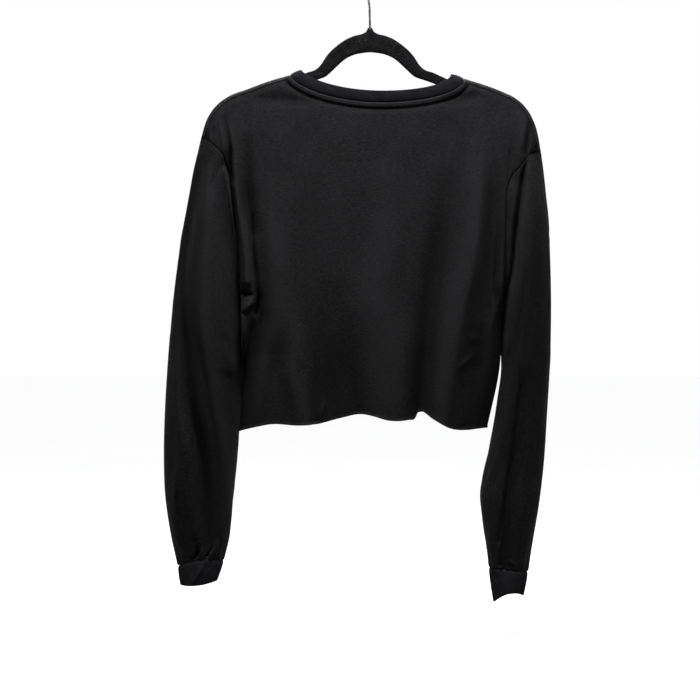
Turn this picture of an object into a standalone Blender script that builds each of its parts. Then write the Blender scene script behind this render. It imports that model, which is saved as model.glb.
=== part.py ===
"""Cropped long-sleeve jersey top with a raw, wavy hem, hanging on a slim flocked hanger.

Frame: millimetres in the tables below, metres in the model, +Z up. The origin is the inner top
of the hook, where a rail touches it. The back of the top faces -Y and its front faces +Y.
"Left" is the -X side. "Down" in a table is millimetres below the origin.

Every cloth piece is an open surface, worked out from sections, with a Solidify wall inside it.
The surfaces are the outer faces of the cloth, and neighbours share their seam points.
"""

import math
from collections import namedtuple

import bpy
import numpy as np

MM = 0.001
COLLECTION = "cropped_top_on_hanger"

# ---------------------------------------------------------------- driving sizes, mm
CLOTH_WALL = 1.5
RIB_WALL = 2.0
SEAM_GAP = 0.3          # between neighbouring pieces
SHOULDER_GAP = 0.5      # between the panels along a shoulder seam
LIP = 2.4               # flat strip beside a shoulder or side seam

# Neck: the seam and the free edge of the rib are ovals that dip at the back and the front.
NeckLoop = namedtuple("NeckLoop", "centre half left_down right_down back_drop front_drop")
NECK_SEAM = NeckLoop(9.75, 124.75, 147.8, 152.7, 36.0, 97.0)
NECK_EDGE = NeckLoop(8.7, 107.1, 140.0, 145.9, 27.4, 80.0)
NECK_DIP = 1.3          # how square the dip of the oval is
NECK_INSIDE = 0.999     # points less far across than this lie on the neck seam, not on a shoulder
RIB_CROWN = 1.0         # how far the rib bows out between its edges
RIB_LEAN = {"back": 1.5, "front": -2.0}     # how far its free edge lies outside its seam

# Cloth over the hanger arms.
SHOULDER_HUG = 5.2      # depth of the cloth beside the hanger arm
SHOULDER_ROUND = 4.0    # radius of the cloth over the arm
SHOULDER_FADE = 46.0    # how far down the cloth leaves the arm's plane
FOLD_FADE = 14.0        # how far down the folds reach their full rise

# Hanger and hook.
HANGER_THICK = 4.8
HANGER_SIDES = 10       # points round an upright slice of the hanger
HANGER_SQUARE = 0.7     # how square a slice is: 1 is an ellipse, less is squarer
HANGER_END_THIN = 0.6   # thickness of its last slice, as a share of the full thickness
HOOK_WIRE = 3.6
HOOK_RADIUS = 18.0      # of the wire's centre line
HOOK_STEPS = 28
HOOK_TURN = 236.0, -18.0            # where the loop starts and ends, degrees
HUB_TOP_DOWN = 80.1

# Grid sizes.
ARM_LEVELS = (0.0, 0.05, 0.105, 0.16, 0.215, 0.29, 0.39, 0.51, 0.66, 0.83, 1.0)
SIDE_LEVELS = (1.09, 1.2, 1.32, 1.45, 1.58, 1.7, 1.81, 1.91, 2.0)
EVEN_FROM, EVEN_TO = 0.2, 0.9       # levels between which a panel's columns spread evenly
FOLD_STEPS = 25         # places along a fold's line where the distance to it is measured
ROLL_STEPS = 3
SHOULDER_COLUMNS = 5
NECK_COLUMNS = 14
SLEEVE_STEPS = (0.012, 0.03, 0.06, 0.10, 0.155, 0.22, 0.29, 0.36, 0.43, 0.50, 0.57, 0.64, 0.705,
                0.765, 0.82, 0.87, 0.915, 0.955, 1.0)
RIB_ROWS = 3
CUFF_ROWS = 4

# ---------------------------------------------------------------- tables, mm
# Shoulder line: across, down.
Outline = namedtuple("Outline", "x down")
LEFT_SHOULDER = (
    Outline(-241.0, 235.5), Outline(-234.5, 214.5), Outline(-226.0, 198.8),
    Outline(-217.4, 188.8), Outline(-205.0, 179.6), Outline(-174.5, 167.3),
    Outline(-140.1, 154.8), Outline(-115.0, 147.8),
)
RIGHT_SHOULDER = (
    Outline(134.5, 152.7), Outline(150.2, 157.3), Outline(193.0, 173.0),
    Outline(207.4, 180.2), Outline(221.7, 193.0), Outline(229.6, 205.0),
    Outline(237.5, 225.0), Outline(243.8, 253.7),
)

# Side of the body: level 0 is the shoulder point, 1 the armpit and 2 the hem corner.
# Across and down of the seam, how far the seam lies from the middle plane, and the width over
# which the cloth rolls from the seam into the panel.
Side = namedtuple("Side", "level x down depth roll")
LEFT_SIDE = (
    Side(0.00, -241.0, 235.5, 0.15, 12.0), Side(0.05, -233.5, 238.5, 12.0, 12.0),
    Side(0.11, -225.0, 247.0, 18.5, 11.0), Side(0.16, -215.5, 256.0, 22.5, 10.0),
    Side(0.21, -207.0, 265.0, 23.0, 9.0), Side(0.30, -202.0, 285.0, 14.0, 10.0),
    Side(0.47, -195.5, 330.0, 7.0, 11.0), Side(0.74, -187.0, 400.0, 5.0, 12.0),
    Side(1.00, -181.0, 470.0, 0.15, 17.0), Side(1.20, -181.5, 505.0, 0.15, 22.0),
    Side(1.50, -182.5, 561.0, 0.15, 26.0), Side(2.00, -186.0, 656.5, 0.15, 26.0),
)
RIGHT_SIDE = (
    Side(0.00, 243.8, 253.7, 0.15, 12.0), Side(0.05, 235.0, 257.5, 12.0, 12.0),
    Side(0.10, 225.5, 263.5, 20.0, 11.0), Side(0.15, 218.0, 274.0, 25.0, 10.0),
    Side(0.20, 209.0, 285.0, 27.0, 9.0), Side(0.25, 201.0, 294.0, 26.5, 8.0),
    Side(0.31, 196.0, 306.0, 21.0, 8.0), Side(0.50, 192.5, 350.0, 13.0, 8.0),
    Side(0.75, 191.5, 412.0, 9.0, 9.0), Side(1.00, 189.0, 474.8, 0.15, 15.0),
    Side(1.20, 188.0, 510.0, 0.15, 20.0), Side(1.50, 184.0, 563.0, 0.15, 24.0),
    Side(2.00, 167.0, 650.6, 0.15, 26.0),
)

# Depth of each panel from the middle plane, beside its rolls and at its middle.
Depth = namedtuple("Depth", "down side middle")
BACK_DEPTH = (
    Depth(140.0, 6.0, 25.0), Depth(200.0, 14.0, 27.0), Depth(250.0, 25.0, 29.0),
    Depth(300.0, 32.0, 33.0), Depth(380.0, 36.0, 40.0), Depth(465.0, 38.0, 46.0),
    Depth(560.0, 38.0, 50.0), Depth(660.0, 35.0, 53.0),
)
FRONT_DEPTH = (
    Depth(140.0, 6.0, 28.0), Depth(200.0, 14.0, 31.0), Depth(250.0, 25.0, 34.0),
    Depth(300.0, 32.0, 38.0), Depth(380.0, 36.0, 45.0), Depth(465.0, 37.0, 50.0),
    Depth(560.0, 37.0, 53.0), Depth(660.0, 34.0, 55.0),
)

# Hem line of each panel: across, down.
BACK_HEM = (
    Outline(-186.0, 656.5), Outline(-168.7, 650.7), Outline(-140.0, 645.0),
    Outline(-100.0, 646.4), Outline(-77.0, 645.0), Outline(-43.0, 636.4),
    Outline(-11.0, 630.6), Outline(25.0, 639.2), Outline(54.0, 638.6),
    Outline(70.0, 627.0), Outline(88.5, 637.8), Outline(108.5, 649.2),
    Outline(167.5, 650.7),
)
FRONT_HEM = (
    Outline(-186.0, 655.5), Outline(-150.0, 643.0), Outline(-112.0, 636.0),
    Outline(-70.0, 640.0), Outline(-30.0, 629.0), Outline(10.0, 624.0),
    Outline(52.0, 633.0), Outline(92.0, 629.0), Outline(130.0, 643.0),
    Outline(167.5, 649.5),
)

# Folds: three points of the line (across, down), the width to each side, and the rise out of the
# cloth (a trough is negative) at the head, the middle and the tail of the line.
Fold = namedtuple("Fold", "x0 down0 x1 down1 x2 down2 width head middle tail")
BACK_FOLDS = (
    Fold(-131.0, 250.0, -124.0, 400.0, -128.0, 520.0, 24.0, 0.0, 5.0, 4.0),     # left ridge
    Fold(-128.0, 520.0, -152.0, 575.0, -168.0, 650.0, 18.0, 3.0, 6.0, 6.0),     # its left fork
    Fold(-112.0, 510.0, -104.0, 575.0, -100.0, 650.0, 15.0, 0.0, 5.0, 5.0),     # its right fork
    Fold(-122.0, 530.0, -132.0, 590.0, -135.0, 655.0, 13.0, 0.0, -6.0, -4.0),   # between forks
    Fold(-80.0, 480.0, -79.0, 570.0, -77.0, 655.0, 13.0, 0.0, -6.0, -7.0),      # left trough
    Fold(-40.0, 440.0, -31.0, 540.0, -25.0, 650.0, 22.0, 0.0, -5.0, -6.0),      # broad trough
    Fold(33.0, 250.0, 14.0, 440.0, 38.0, 650.0, 30.0, 0.0, 6.0, 8.0),           # middle ridge
    Fold(102.0, 280.0, 62.0, 440.0, 70.0, 655.0, 15.0, 0.0, -10.0, -17.0),      # main trough
    Fold(148.0, 260.0, 120.0, 440.0, 98.0, 650.0, 22.0, 0.0, 8.0, 10.0),        # right ridge
    Fold(178.0, 270.0, 166.0, 420.0, 150.0, 640.0, 12.0, 0.0, -6.0, -8.0),      # beside the roll
    Fold(122.0, 572.0, 138.0, 556.0, 154.0, 540.0, 9.0, 0.0, 5.0, 0.0),         # low pinch
    Fold(-152.0, 181.0, -124.0, 181.0, -94.0, 184.0, 11.0, 0.0, -7.0, 0.0),     # left hollow
    Fold(126.0, 181.0, 148.0, 180.0, 172.0, 186.0, 10.0, 0.0, -7.0, 0.0),       # right hollow
    Fold(-211.0, 208.0, -207.0, 232.0, -199.0, 268.0, 7.0, 0.0, -9.0, -6.0),    # left shoulder end
    Fold(205.0, 236.0, 200.0, 262.0, 197.0, 290.0, 7.0, 0.0, -9.0, -6.0),       # right shoulder end
)
FRONT_FOLDS = (
    Fold(-140.0, 290.0, -128.0, 430.0, -150.0, 650.0, 22.0, 0.0, 7.0, 7.0),
    Fold(-96.0, 330.0, -92.0, 480.0, -104.0, 650.0, 16.0, 0.0, -8.0, -12.0),
    Fold(-60.0, 300.0, -48.0, 460.0, -66.0, 650.0, 22.0, 0.0, 7.0, 9.0),
    Fold(-12.0, 340.0, -6.0, 500.0, -18.0, 650.0, 17.0, 0.0, -6.0, -11.0),
    Fold(40.0, 300.0, 34.0, 470.0, 52.0, 650.0, 24.0, 0.0, 7.0, 9.0),
    Fold(92.0, 320.0, 84.0, 470.0, 92.0, 650.0, 15.0, 0.0, -9.0, -13.0),
    Fold(146.0, 290.0, 128.0, 440.0, 134.0, 650.0, 22.0, 0.0, 7.0, 8.0),
    Fold(-211.0, 208.0, -207.0, 232.0, -199.0, 268.0, 7.0, 0.0, -9.0, -6.0),
    Fold(205.0, 236.0, 200.0, 262.0, 197.0, 290.0, 7.0, 0.0, -9.0, -6.0),
)

# Sleeve sections: share of the way from armhole to cuff, the outer and the inner point of the
# section, its half depth, and how far it hangs forward of the middle plane.
Section = namedtuple("Section", "share out_x out_down in_x in_down depth lean")
LEFT_SLEEVE = (
    Section(0.00, -241.0, 235.5, -181.0, 470.0, 30.0, 0.0),
    Section(0.03, -245.5, 254.0, -182.5, 478.0, 34.0, 0.0),
    Section(0.10, -254.0, 294.6, -183.5, 492.0, 38.0, 0.5),
    Section(0.21, -267.0, 366.0, -183.5, 526.0, 40.0, 2.0),
    Section(0.35, -279.0, 447.6, -184.3, 572.0, 39.0, 4.0),
    Section(0.49, -286.9, 533.4, -186.6, 619.0, 38.0, 6.0),
    Section(0.64, -293.2, 629.2, -189.6, 669.0, 37.0, 7.5),
    Section(0.74, -294.4, 690.7, -191.6, 712.0, 35.0, 8.0),
    Section(0.85, -291.0, 755.0, -197.3, 759.3, 33.0, 7.5),
    Section(0.94, -281.5, 812.2, -202.8, 809.4, 29.0, 6.0),
    Section(1.00, -272.7, 847.7, -209.2, 839.4, 23.0, 5.0),
)
RIGHT_SLEEVE = (
    Section(0.00, 243.8, 253.7, 189.0, 474.8, 30.0, 0.0),
    Section(0.03, 245.8, 267.0, 191.0, 482.0, 34.0, 0.0),
    Section(0.10, 250.0, 306.0, 190.5, 497.6, 38.0, 0.5),
    Section(0.21, 254.8, 361.8, 188.6, 526.2, 40.0, 2.0),
    Section(0.35, 258.1, 457.6, 186.4, 569.1, 39.0, 4.0),
    Section(0.49, 257.4, 546.0, 180.8, 620.6, 38.0, 6.0),
    Section(0.64, 252.5, 638.0, 171.6, 680.7, 37.0, 7.5),
    Section(0.74, 248.2, 699.0, 161.5, 726.4, 35.0, 8.0),
    Section(0.85, 240.8, 765.0, 158.9, 762.2, 33.0, 7.5),
    Section(0.94, 230.0, 819.4, 165.9, 818.0, 29.0, 6.0),
    Section(1.00, 224.5, 855.7, 169.4, 849.4, 22.0, 5.0),
)
SLEEVE_SETTLE = 0.12    # share of the sleeve over which the armhole's slit opens to a tube
SLEEVE_AWAY = Outline(0.8, 0.6)     # direction from the armhole in which the seam's gap opens
SLEEVE_FOLDS = {
    "left_sleeve_back": (
        Fold(-233.0, 275.0, -238.0, 440.0, -231.0, 560.0, 13.0, 0.0, 6.0, 4.0),
        Fold(-231.0, 560.0, -217.0, 660.0, -211.0, 800.0, 12.0, 3.0, 6.0, 2.0),
        Fold(-261.0, 270.0, -263.0, 400.0, -256.0, 545.0, 9.0, 0.0, -5.0, 0.0),
        Fold(-244.0, 560.0, -245.0, 690.0, -236.0, 825.0, 17.0, 0.0, -9.0, -3.0),
        Fold(-214.0, 515.0, -202.0, 530.0, -190.0, 556.0, 8.0, 0.0, -4.0, 0.0),
    ),
    "left_sleeve_front": (
        Fold(-225.0, 300.0, -232.0, 450.0, -228.0, 600.0, 13.0, 0.0, 6.0, 0.0),
        Fold(-252.0, 420.0, -250.0, 600.0, -240.0, 800.0, 15.0, 0.0, -7.0, -3.0),
    ),
    "right_sleeve_back": (
        Fold(221.0, 262.0, 211.0, 320.0, 202.0, 410.0, 9.0, -6.0, -11.0, 0.0),
        Fold(226.0, 280.0, 215.0, 400.0, 200.0, 620.0, 12.0, 0.0, 5.0, 3.0),
        Fold(240.0, 330.0, 241.0, 480.0, 228.0, 640.0, 16.0, 0.0, -5.0, 0.0),
        Fold(196.0, 640.0, 192.0, 720.0, 183.0, 815.0, 9.0, 0.0, -8.0, -3.0),
    ),
    "right_sleeve_front": (
        Fold(228.0, 300.0, 226.0, 450.0, 214.0, 620.0, 13.0, 0.0, 6.0, 0.0),
        Fold(210.0, 480.0, 206.0, 640.0, 200.0, 800.0, 13.0, 0.0, -7.0, -3.0),
    ),
}

# Cuffs: the outer and the inner point of the free edge, its half depth, how far it hangs forward,
# and how far the back and the front of that edge are drawn up.
Cuff = namedtuple("Cuff", "out_x out_down in_x in_down depth lean back_lift front_lift")
LEFT_CUFF = Cuff(-270.6, 875.2, -218.2, 869.4, 22.0, 4.0, -2.5, 1.0)
RIGHT_CUFF = Cuff(219.3, 890.6, 176.2, 899.6, 21.0, 4.0, 8.5, 3.0)

# Half of the hanger: distance from the hook, down of its top edge and of its bottom edge.
Hanger = namedtuple("Hanger", "out top bottom")
HANGER = (
    Hanger(0.0, 80.1, 115.0), Hanger(3.2, 80.3, 115.1), Hanger(5.2, 84.6, 115.3),
    Hanger(8.5, 87.0, 115.7), Hanger(22.9, 91.4, 118.6), Hanger(35.8, 97.2, 125.0),
    Hanger(46.0, 104.4, 133.8), Hanger(55.5, 112.6, 142.9), Hanger(63.5, 121.9, 149.6),
    Hanger(69.4, 131.4, 152.2), Hanger(74.5, 137.0, 153.8), Hanger(91.5, 144.4, 159.8),
    Hanger(115.0, 155.0, 168.5), Hanger(132.0, 160.6, 174.0), Hanger(157.3, 166.8, 181.0),
    Hanger(191.6, 178.6, 192.6), Hanger(207.0, 187.5, 200.5), Hanger(215.0, 195.5, 205.8),
    Hanger(218.6, 201.0, 206.8),
)

# Lower part of the hook's wire: across, down. It leans a little and bends into the loop.
HOOK_STEM = (
    Outline(0.0, HUB_TOP_DOWN - SEAM_GAP), Outline(-0.4, 62.0), Outline(-1.0, 48.0),
    Outline(-2.2, 41.0), Outline(-5.0, 35.8),
)

# ---------------------------------------------------------------- finishes: colour, roughness, metal
Finish = namedtuple("Finish", "colour roughness metallic")
JERSEY = Finish((0.012, 0.012, 0.013), 0.85, 0.0)
RIB_KNIT = Finish((0.014, 0.014, 0.015), 0.8, 0.0)
FLOCK = Finish((0.008, 0.008, 0.009), 0.95, 0.0)
CHROME = Finish((0.72, 0.73, 0.75), 0.15, 1.0)


# ---------------------------------------------------------------- curves and tables
def through(keys, values, at):
    """Smooth curve through the values at the rising keys, read at some places."""
    keys, values = np.asarray(keys, float), np.asarray(values, float)
    at = np.clip(np.asarray(at, float), keys[0], keys[-1])
    slopes = np.gradient(values, keys)
    i = np.clip(np.searchsorted(keys, at, side="right") - 1, 0, len(keys) - 2)
    span = keys[i + 1] - keys[i]
    t = (at - keys[i]) / span
    start = (1 + 2 * t) * (1 - t) ** 2 * values[i] + t * (1 - t) ** 2 * span * slopes[i]
    end = t * t * (3 - 2 * t) * values[i + 1] - t * t * (1 - t) * span * slopes[i + 1]
    return start + end


def column(rows, name):
    return [getattr(row, name) for row in rows]


def read(rows, key, name, at):
    """One named column of a table at some places along its key column."""
    return through(column(rows, key), column(rows, name), at)


def soft_step(t):
    t = np.clip(t, 0.0, 1.0)
    return t * t * (3 - 2 * t)


def quarter_round(t):
    """0 to 1, steep at the start and level at the end, as a quarter circle."""
    return np.sqrt(np.clip(1 - (1 - np.clip(t, 0.0, 1.0)) ** 2, 0.0, 1.0))


def fold_rise(folds, x, down):
    """How far the folds lift the cloth at points given by across and down."""
    total = np.zeros_like(x)
    share = np.linspace(0.0, 1.0, FOLD_STEPS)
    head, middle, tail = (1 - share) * (1 - 2 * share), 4 * share * (1 - share), share * (2 * share - 1)
    for fold in folds:
        line_x = head * fold.x0 + middle * fold.x1 + tail * fold.x2
        line_down = head * fold.down0 + middle * fold.down1 + tail * fold.down2
        gap = np.hypot(x[..., None] - line_x, down[..., None] - line_down)
        nearest = gap.argmin(axis=-1)
        rise = through((0.0, 0.5, 1.0), (fold.head, fold.middle, fold.tail), share[nearest])
        total += rise * np.exp(-(gap.min(axis=-1) / fold.width) ** 2)
    return total


# ---------------------------------------------------------------- body panels
def neck_across(loop, x):
    """Where a point lies across a neck loop, from -1 to 1, and 1 or more outside it."""
    return (x - loop.centre) / loop.half


def neck_down(loop, x, front):
    """Down of a neck loop's back or front half."""
    across = np.clip(neck_across(loop, x), -1.0, 1.0)
    corner = loop.left_down + (loop.right_down - loop.left_down) * (across + 1) / 2
    drop = loop.front_drop if front else loop.back_drop
    return corner + drop * (1 - across ** 2) ** (NECK_DIP / 2)


def shoulder_down(x):
    """Down of the shoulder line, carried straight across the neck."""
    return read(LEFT_SHOULDER + RIGHT_SHOULDER, "x", "down", x)


def top_down(x, front):
    """Down of a panel's top edge: shoulder, neck seam, shoulder."""
    inside = np.abs(neck_across(NECK_SEAM, x)) < NECK_INSIDE
    return np.where(inside, neck_down(NECK_SEAM, x, front), shoulder_down(x))


def panel_columns():
    """The turn of a panel's side rolls, and the across positions of the columns between them on
    its top edge."""
    turn = np.linspace(0.0, 1.0, ROLL_STEPS + 1)[:-1]
    first, last = LEFT_SIDE[0], RIGHT_SIDE[0]
    neck_turn = np.linspace(0.0, math.pi, NECK_COLUMNS + 1)
    neck = NECK_SEAM.centre - NECK_SEAM.half * np.cos(neck_turn)
    left = np.linspace(first.x + first.roll, neck[0], SHOULDER_COLUMNS + 1)[:-1]
    right = np.linspace(neck[-1], last.x - last.roll, SHOULDER_COLUMNS + 1)[1:]
    return turn, np.concatenate([left, neck, right])


def across_at(level, left, right, turn, top_x):
    """Across positions of a row between its two side sections. High rows keep the neck's columns
    where they are, and low rows spread evenly."""
    share = (top_x - top_x[0]) / (top_x[-1] - top_x[0])
    corners = share[SHOULDER_COLUMNS], share[-1 - SHOULDER_COLUMNS]
    even = soft_step((level - EVEN_FROM) / (EVEN_TO - EVEN_FROM))
    left_of_neck = np.clip(1 - share / corners[0], 0.0, 1.0)
    right_of_neck = np.clip((share - corners[1]) / (1 - corners[1]), 0.0, 1.0)
    follow_left = left_of_neck + even * (1 - share - left_of_neck)
    follow_right = right_of_neck + even * (share - right_of_neck)
    starts = left["x"] + left["roll"] - top_x[0], right["x"] - right["roll"] - top_x[-1]
    middle = top_x + starts[0] * follow_left + starts[1] * follow_right
    swing = 1 - np.cos(turn * math.pi / 2)
    ends = left["x"] + left["roll"] * swing, (right["x"] - right["roll"] * swing)[::-1]
    return np.concatenate([ends[0], middle, ends[1]])


def panel_grid(front):
    """Rows of points of the back or the front panel, from its top edge to its hem."""
    turn, top_x = panel_columns()
    share = (top_x - top_x[0]) / (top_x[-1] - top_x[0])
    whole_share = np.concatenate([np.zeros(ROLL_STEPS), share, np.ones(ROLL_STEPS)])
    rolled = np.sin(np.concatenate([turn, np.ones(len(share)), turn[::-1]]) * math.pi / 2)
    points = LEFT_SIDE[0], RIGHT_SIDE[0]
    start_x = across_at(0.0, points[0]._asdict(), points[1]._asdict(), turn, top_x)
    start_down = top_down(start_x, front)
    armpits = [read(rows, "level", "down", 1.0) for rows in (LEFT_SIDE, RIGHT_SIDE)]
    armpit_down = armpits[0] + (armpits[1] - armpits[0]) * whole_share
    hem = FRONT_HEM if front else BACK_HEM
    grid = []
    for level in ARM_LEVELS + SIDE_LEVELS:
        side = [{name: float(read(rows, "level", name, level)) for name in ("x", "down", "depth", "roll")}
                for rows in (LEFT_SIDE, RIGHT_SIDE)]
        for s in side:
            s["depth"] = max(s["depth"], SEAM_GAP / 2)
        x = across_at(level, *side, turn, top_x)
        if level <= 1.0:
            falls = [(s["down"] - p.down) / (a - p.down) for s, p, a in zip(side, points, armpits)]
            fall = falls[0] + (falls[1] - falls[0]) * whole_share
            down = start_down + (armpit_down - start_down) * fall
        else:
            down = armpit_down + (read(hem, "x", "down", x) - armpit_down) * (level - 1.0)
        seam = side[0]["depth"] + (side[1]["depth"] - side[0]["depth"]) * whole_share
        depth = seam + (panel_depth(x, down, front) - seam) * rolled
        grid.append(np.stack([x, depth, down], axis=-1))
    return np.array(grid)


def panel_depth(x, down, front):
    """Distance of a panel's points from the middle plane, away from its side rolls."""
    rows = FRONT_DEPTH if front else BACK_DEPTH
    folds = FRONT_FOLDS if front else BACK_FOLDS
    fall = np.maximum(down - shoulder_down(x), 0.0)
    sides = [read(seam, "down", "x", down) for seam in (LEFT_SIDE, RIGHT_SIDE)]
    middle = (sides[0] + sides[1]) / 2
    half = (sides[1] - sides[0]) / 2
    crown = np.clip(1 - ((x - middle) / half) ** 2, 0.0, 1.0)
    body = read(rows, "down", "side", down)
    body = body + (read(rows, "down", "middle", down) - body) * crown
    body = SHOULDER_HUG + (body - SHOULDER_HUG) * soft_step(fall / SHOULDER_FADE)
    body = body + fold_rise(folds, x, down) * soft_step(fall / FOLD_FADE)
    return SHOULDER_GAP / 2 + (body - SHOULDER_GAP / 2) * quarter_round(fall / SHOULDER_ROUND)


def with_lips(grid):
    """A panel's rows with a flat strip beside each seam, square to the middle plane where the
    front and the back meet."""
    square = np.array([0.0, LIP, 0.0])

    def beside(edge, inner, meets):
        along = inner - edge
        along = along / np.linalg.norm(along, axis=-1, keepdims=True) * LIP
        return edge + np.where(meets[:, None], square, along)

    top_meets = np.abs(neck_across(NECK_SEAM, grid[0, :, 0])) > NECK_INSIDE
    grid = np.insert(grid, 1, beside(grid[0], grid[1], top_meets), axis=0)
    levels = np.array((0.0, 0.0) + (ARM_LEVELS + SIDE_LEVELS)[1:])
    side_meets = levels >= 1.0
    grid = np.insert(grid, 1, beside(grid[:, 0], grid[:, 1], side_meets), axis=1)
    return np.insert(grid, -1, beside(grid[:, -1], grid[:, -2], side_meets), axis=1)


def placed(grid, sign):
    """Across, depth and down as x, y and z, on the back (-1) or the front (1)."""
    return np.stack([grid[..., 0], sign * grid[..., 1], -grid[..., 2]], axis=-1)


# ---------------------------------------------------------------- tubes: sleeves, cuffs, neck rib
def armhole_loop(back, front, edge):
    """The closed loop of seam points of an armhole, down the back and up the front."""
    rows = len(ARM_LEVELS) + 1
    down, up = back[:rows, edge], front[:rows, edge]
    top, armpit = (down[0] + up[0]) / 2, (down[-1] + up[-1]) / 2
    return np.array([top, *down[1:-1], armpit, *up[1:-1][::-1]])


def loop_turns():
    """Angle of each point of a sleeve ring: 0 outside, a half turn at the armpit."""
    levels = np.array((0.0, 0.02) + ARM_LEVELS[1:])
    even = np.linspace(0.0, 1.0, len(levels))
    half = math.pi * (levels + even) / 2
    return np.concatenate([half, 2 * math.pi - half[1:-1][::-1]])


def section_ring(turns, out_x, out_down, in_x, in_down, depth, lean):
    """A slanted oval from its outer to its inner point."""
    across = (1 - np.cos(turns)) / 2
    return np.stack([out_x + (in_x - out_x) * across, lean - depth * np.sin(turns),
                     -(out_down + (in_down - out_down) * across)], axis=-1)


def sleeve_rings(loop, rows, side, name):
    """Rings of a sleeve, from its armhole to its cuff."""
    turns = loop_turns()
    away = np.array([SLEEVE_AWAY.x * side, 0.0, -SLEEVE_AWAY.down]) * SEAM_GAP
    rings = [loop + away]
    for share in SLEEVE_STEPS:
        sizes = {field: float(read(rows, "share", field, share)) for field in Section._fields[1:]}
        ring = section_ring(turns, **sizes)
        for half, facing in (("back", -1), ("front", 1)):
            faces = np.clip(-facing * np.sin(turns), 0.0, 1.0)
            folds = SLEEVE_FOLDS[f"{name}_{half}"]
            ring[:, 1] += facing * faces * fold_rise(folds, ring[:, 0], -ring[:, 2])
        settled = 1 - (1 - min(share / SLEEVE_SETTLE, 1.0)) ** 2
        rings.append(loop + away + (ring - loop - away) * settled)
    return np.array(rings)


def cuff_rings(sleeve_end, cuff):
    """Rings of a cuff, from the sleeve's end to its free edge."""
    turns = loop_turns()
    top = sleeve_end - np.array([0.0, 0.0, SEAM_GAP])
    low = section_ring(turns, *cuff[:6])
    lift = np.where(np.sin(turns) > 0, cuff.back_lift, cuff.front_lift)
    low[:, 2] += lift * np.sin(turns) ** 2
    return np.array([top + (low - top) * share for share in np.linspace(0.0, 1.0, CUFF_ROWS + 1)])


def neck_loop(loop):
    """Points of a neck loop: along the back from left to right, and back along the front."""
    half = np.linspace(0.0, math.pi, NECK_COLUMNS + 1)
    turns = np.concatenate([half, math.pi + half[1:-1]])
    behind = turns <= math.pi
    x = loop.centre - loop.half * np.cos(turns)
    down = np.where(behind, neck_down(loop, x, False), neck_down(loop, x, True))
    return turns, behind, np.stack([x, np.zeros_like(x), -down], axis=-1)


def neck_rings():
    """Rings of the neck rib, from its seam, which lies on the panels, to its free edge."""
    turns, behind, seam = neck_loop(NECK_SEAM)
    _, _, edge = neck_loop(NECK_EDGE)
    back, front = (panel_depth(seam[:, 0], -seam[:, 2], is_front) for is_front in (False, True))
    round_it = np.sqrt(np.abs(np.sin(turns)))
    seam[:, 1] = np.where(behind, -back, front)
    edge[:, 1] = seam[:, 1] + np.where(behind, -RIB_LEAN["back"], RIB_LEAN["front"]) * round_it
    corners = [0, NECK_COLUMNS]
    seam[corners, 1] = edge[corners, 1] = 0.0
    height = edge - seam
    seam = seam + height / np.linalg.norm(height, axis=-1, keepdims=True) * SEAM_GAP
    outward = seam - seam.mean(axis=0)
    outward[:, 2] = 0.0
    outward /= np.linalg.norm(outward, axis=-1, keepdims=True)
    rings = []
    for share in np.linspace(0.0, 1.0, RIB_ROWS + 1):
        bow = RIB_CROWN * math.sin(share * math.pi)
        rings.append(seam + (edge - seam) * share + outward * bow)
    return np.array(rings)


# ---------------------------------------------------------------- hanger and hook
def hanger_rings():
    """Upright slices of the hanger, from its left end to its right end."""
    half = [row.out for row in HANGER]
    outs = np.unique(np.concatenate([half, (np.array(half[3:-1]) + np.array(half[4:])) / 2]))
    turns = (np.arange(HANGER_SIDES) + 0.5) * 2 * math.pi / HANGER_SIDES
    round_y = np.sign(np.cos(turns)) * np.abs(np.cos(turns)) ** HANGER_SQUARE
    round_z = np.sign(np.sin(turns)) * np.abs(np.sin(turns)) ** HANGER_SQUARE
    rings = []
    for x in np.concatenate([-outs[:0:-1], outs]):
        top, bottom = (float(read(HANGER, "out", name, abs(x))) for name in ("top", "bottom"))
        thick = HANGER_THICK / 2 * (HANGER_END_THIN if abs(x) == outs[-1] else 1.0)
        rings.append(np.stack([np.full(len(turns), x), thick * round_y,
                               -(top + bottom) / 2 + (bottom - top) / 2 * round_z], axis=-1))
    return np.array(rings)


def hook_route():
    """Centre line of the hook's wire, as x and z: its stem, then an open loop."""
    centre = HOOK_WIRE / 2 - HOOK_RADIUS
    stem = [(point.x, -point.down) for point in HOOK_STEM]
    turns = np.radians(np.linspace(*HOOK_TURN, HOOK_STEPS))
    return stem + [(HOOK_RADIUS * math.cos(t), centre + HOOK_RADIUS * math.sin(t)) for t in turns]


# ---------------------------------------------------------------- Blender
def material(name, finish):
    made = bpy.data.materials.new(name)
    made.use_nodes = True
    shader = made.node_tree.nodes["Principled BSDF"]
    shader.inputs["Base Color"].default_value = (*finish.colour, 1.0)
    shader.inputs["Roughness"].default_value = finish.roughness
    shader.inputs["Metallic"].default_value = finish.metallic
    made.diffuse_color = (*finish.colour, 1.0)
    return made


def grid_faces(rows, columns, closed):
    """Quads of a grid of points, closed round its columns or not."""
    faces = []
    for above in range(0, (rows - 1) * columns, columns):
        below = above + columns
        for c in range(columns if closed else columns - 1):
            right = (c + 1) % columns
            faces.append((above + c, above + right, below + right, below + c))
    return faces


def mesh_object(name, points, faces, finish, collection):
    mesh = bpy.data.meshes.new(name)
    mesh.from_pydata([tuple(p * MM) for p in points], [], faces)
    mesh.materials.append(material(name, finish))
    mesh.shade_smooth()
    made = bpy.data.objects.new(name, mesh)
    collection.objects.link(made)
    return made


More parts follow.
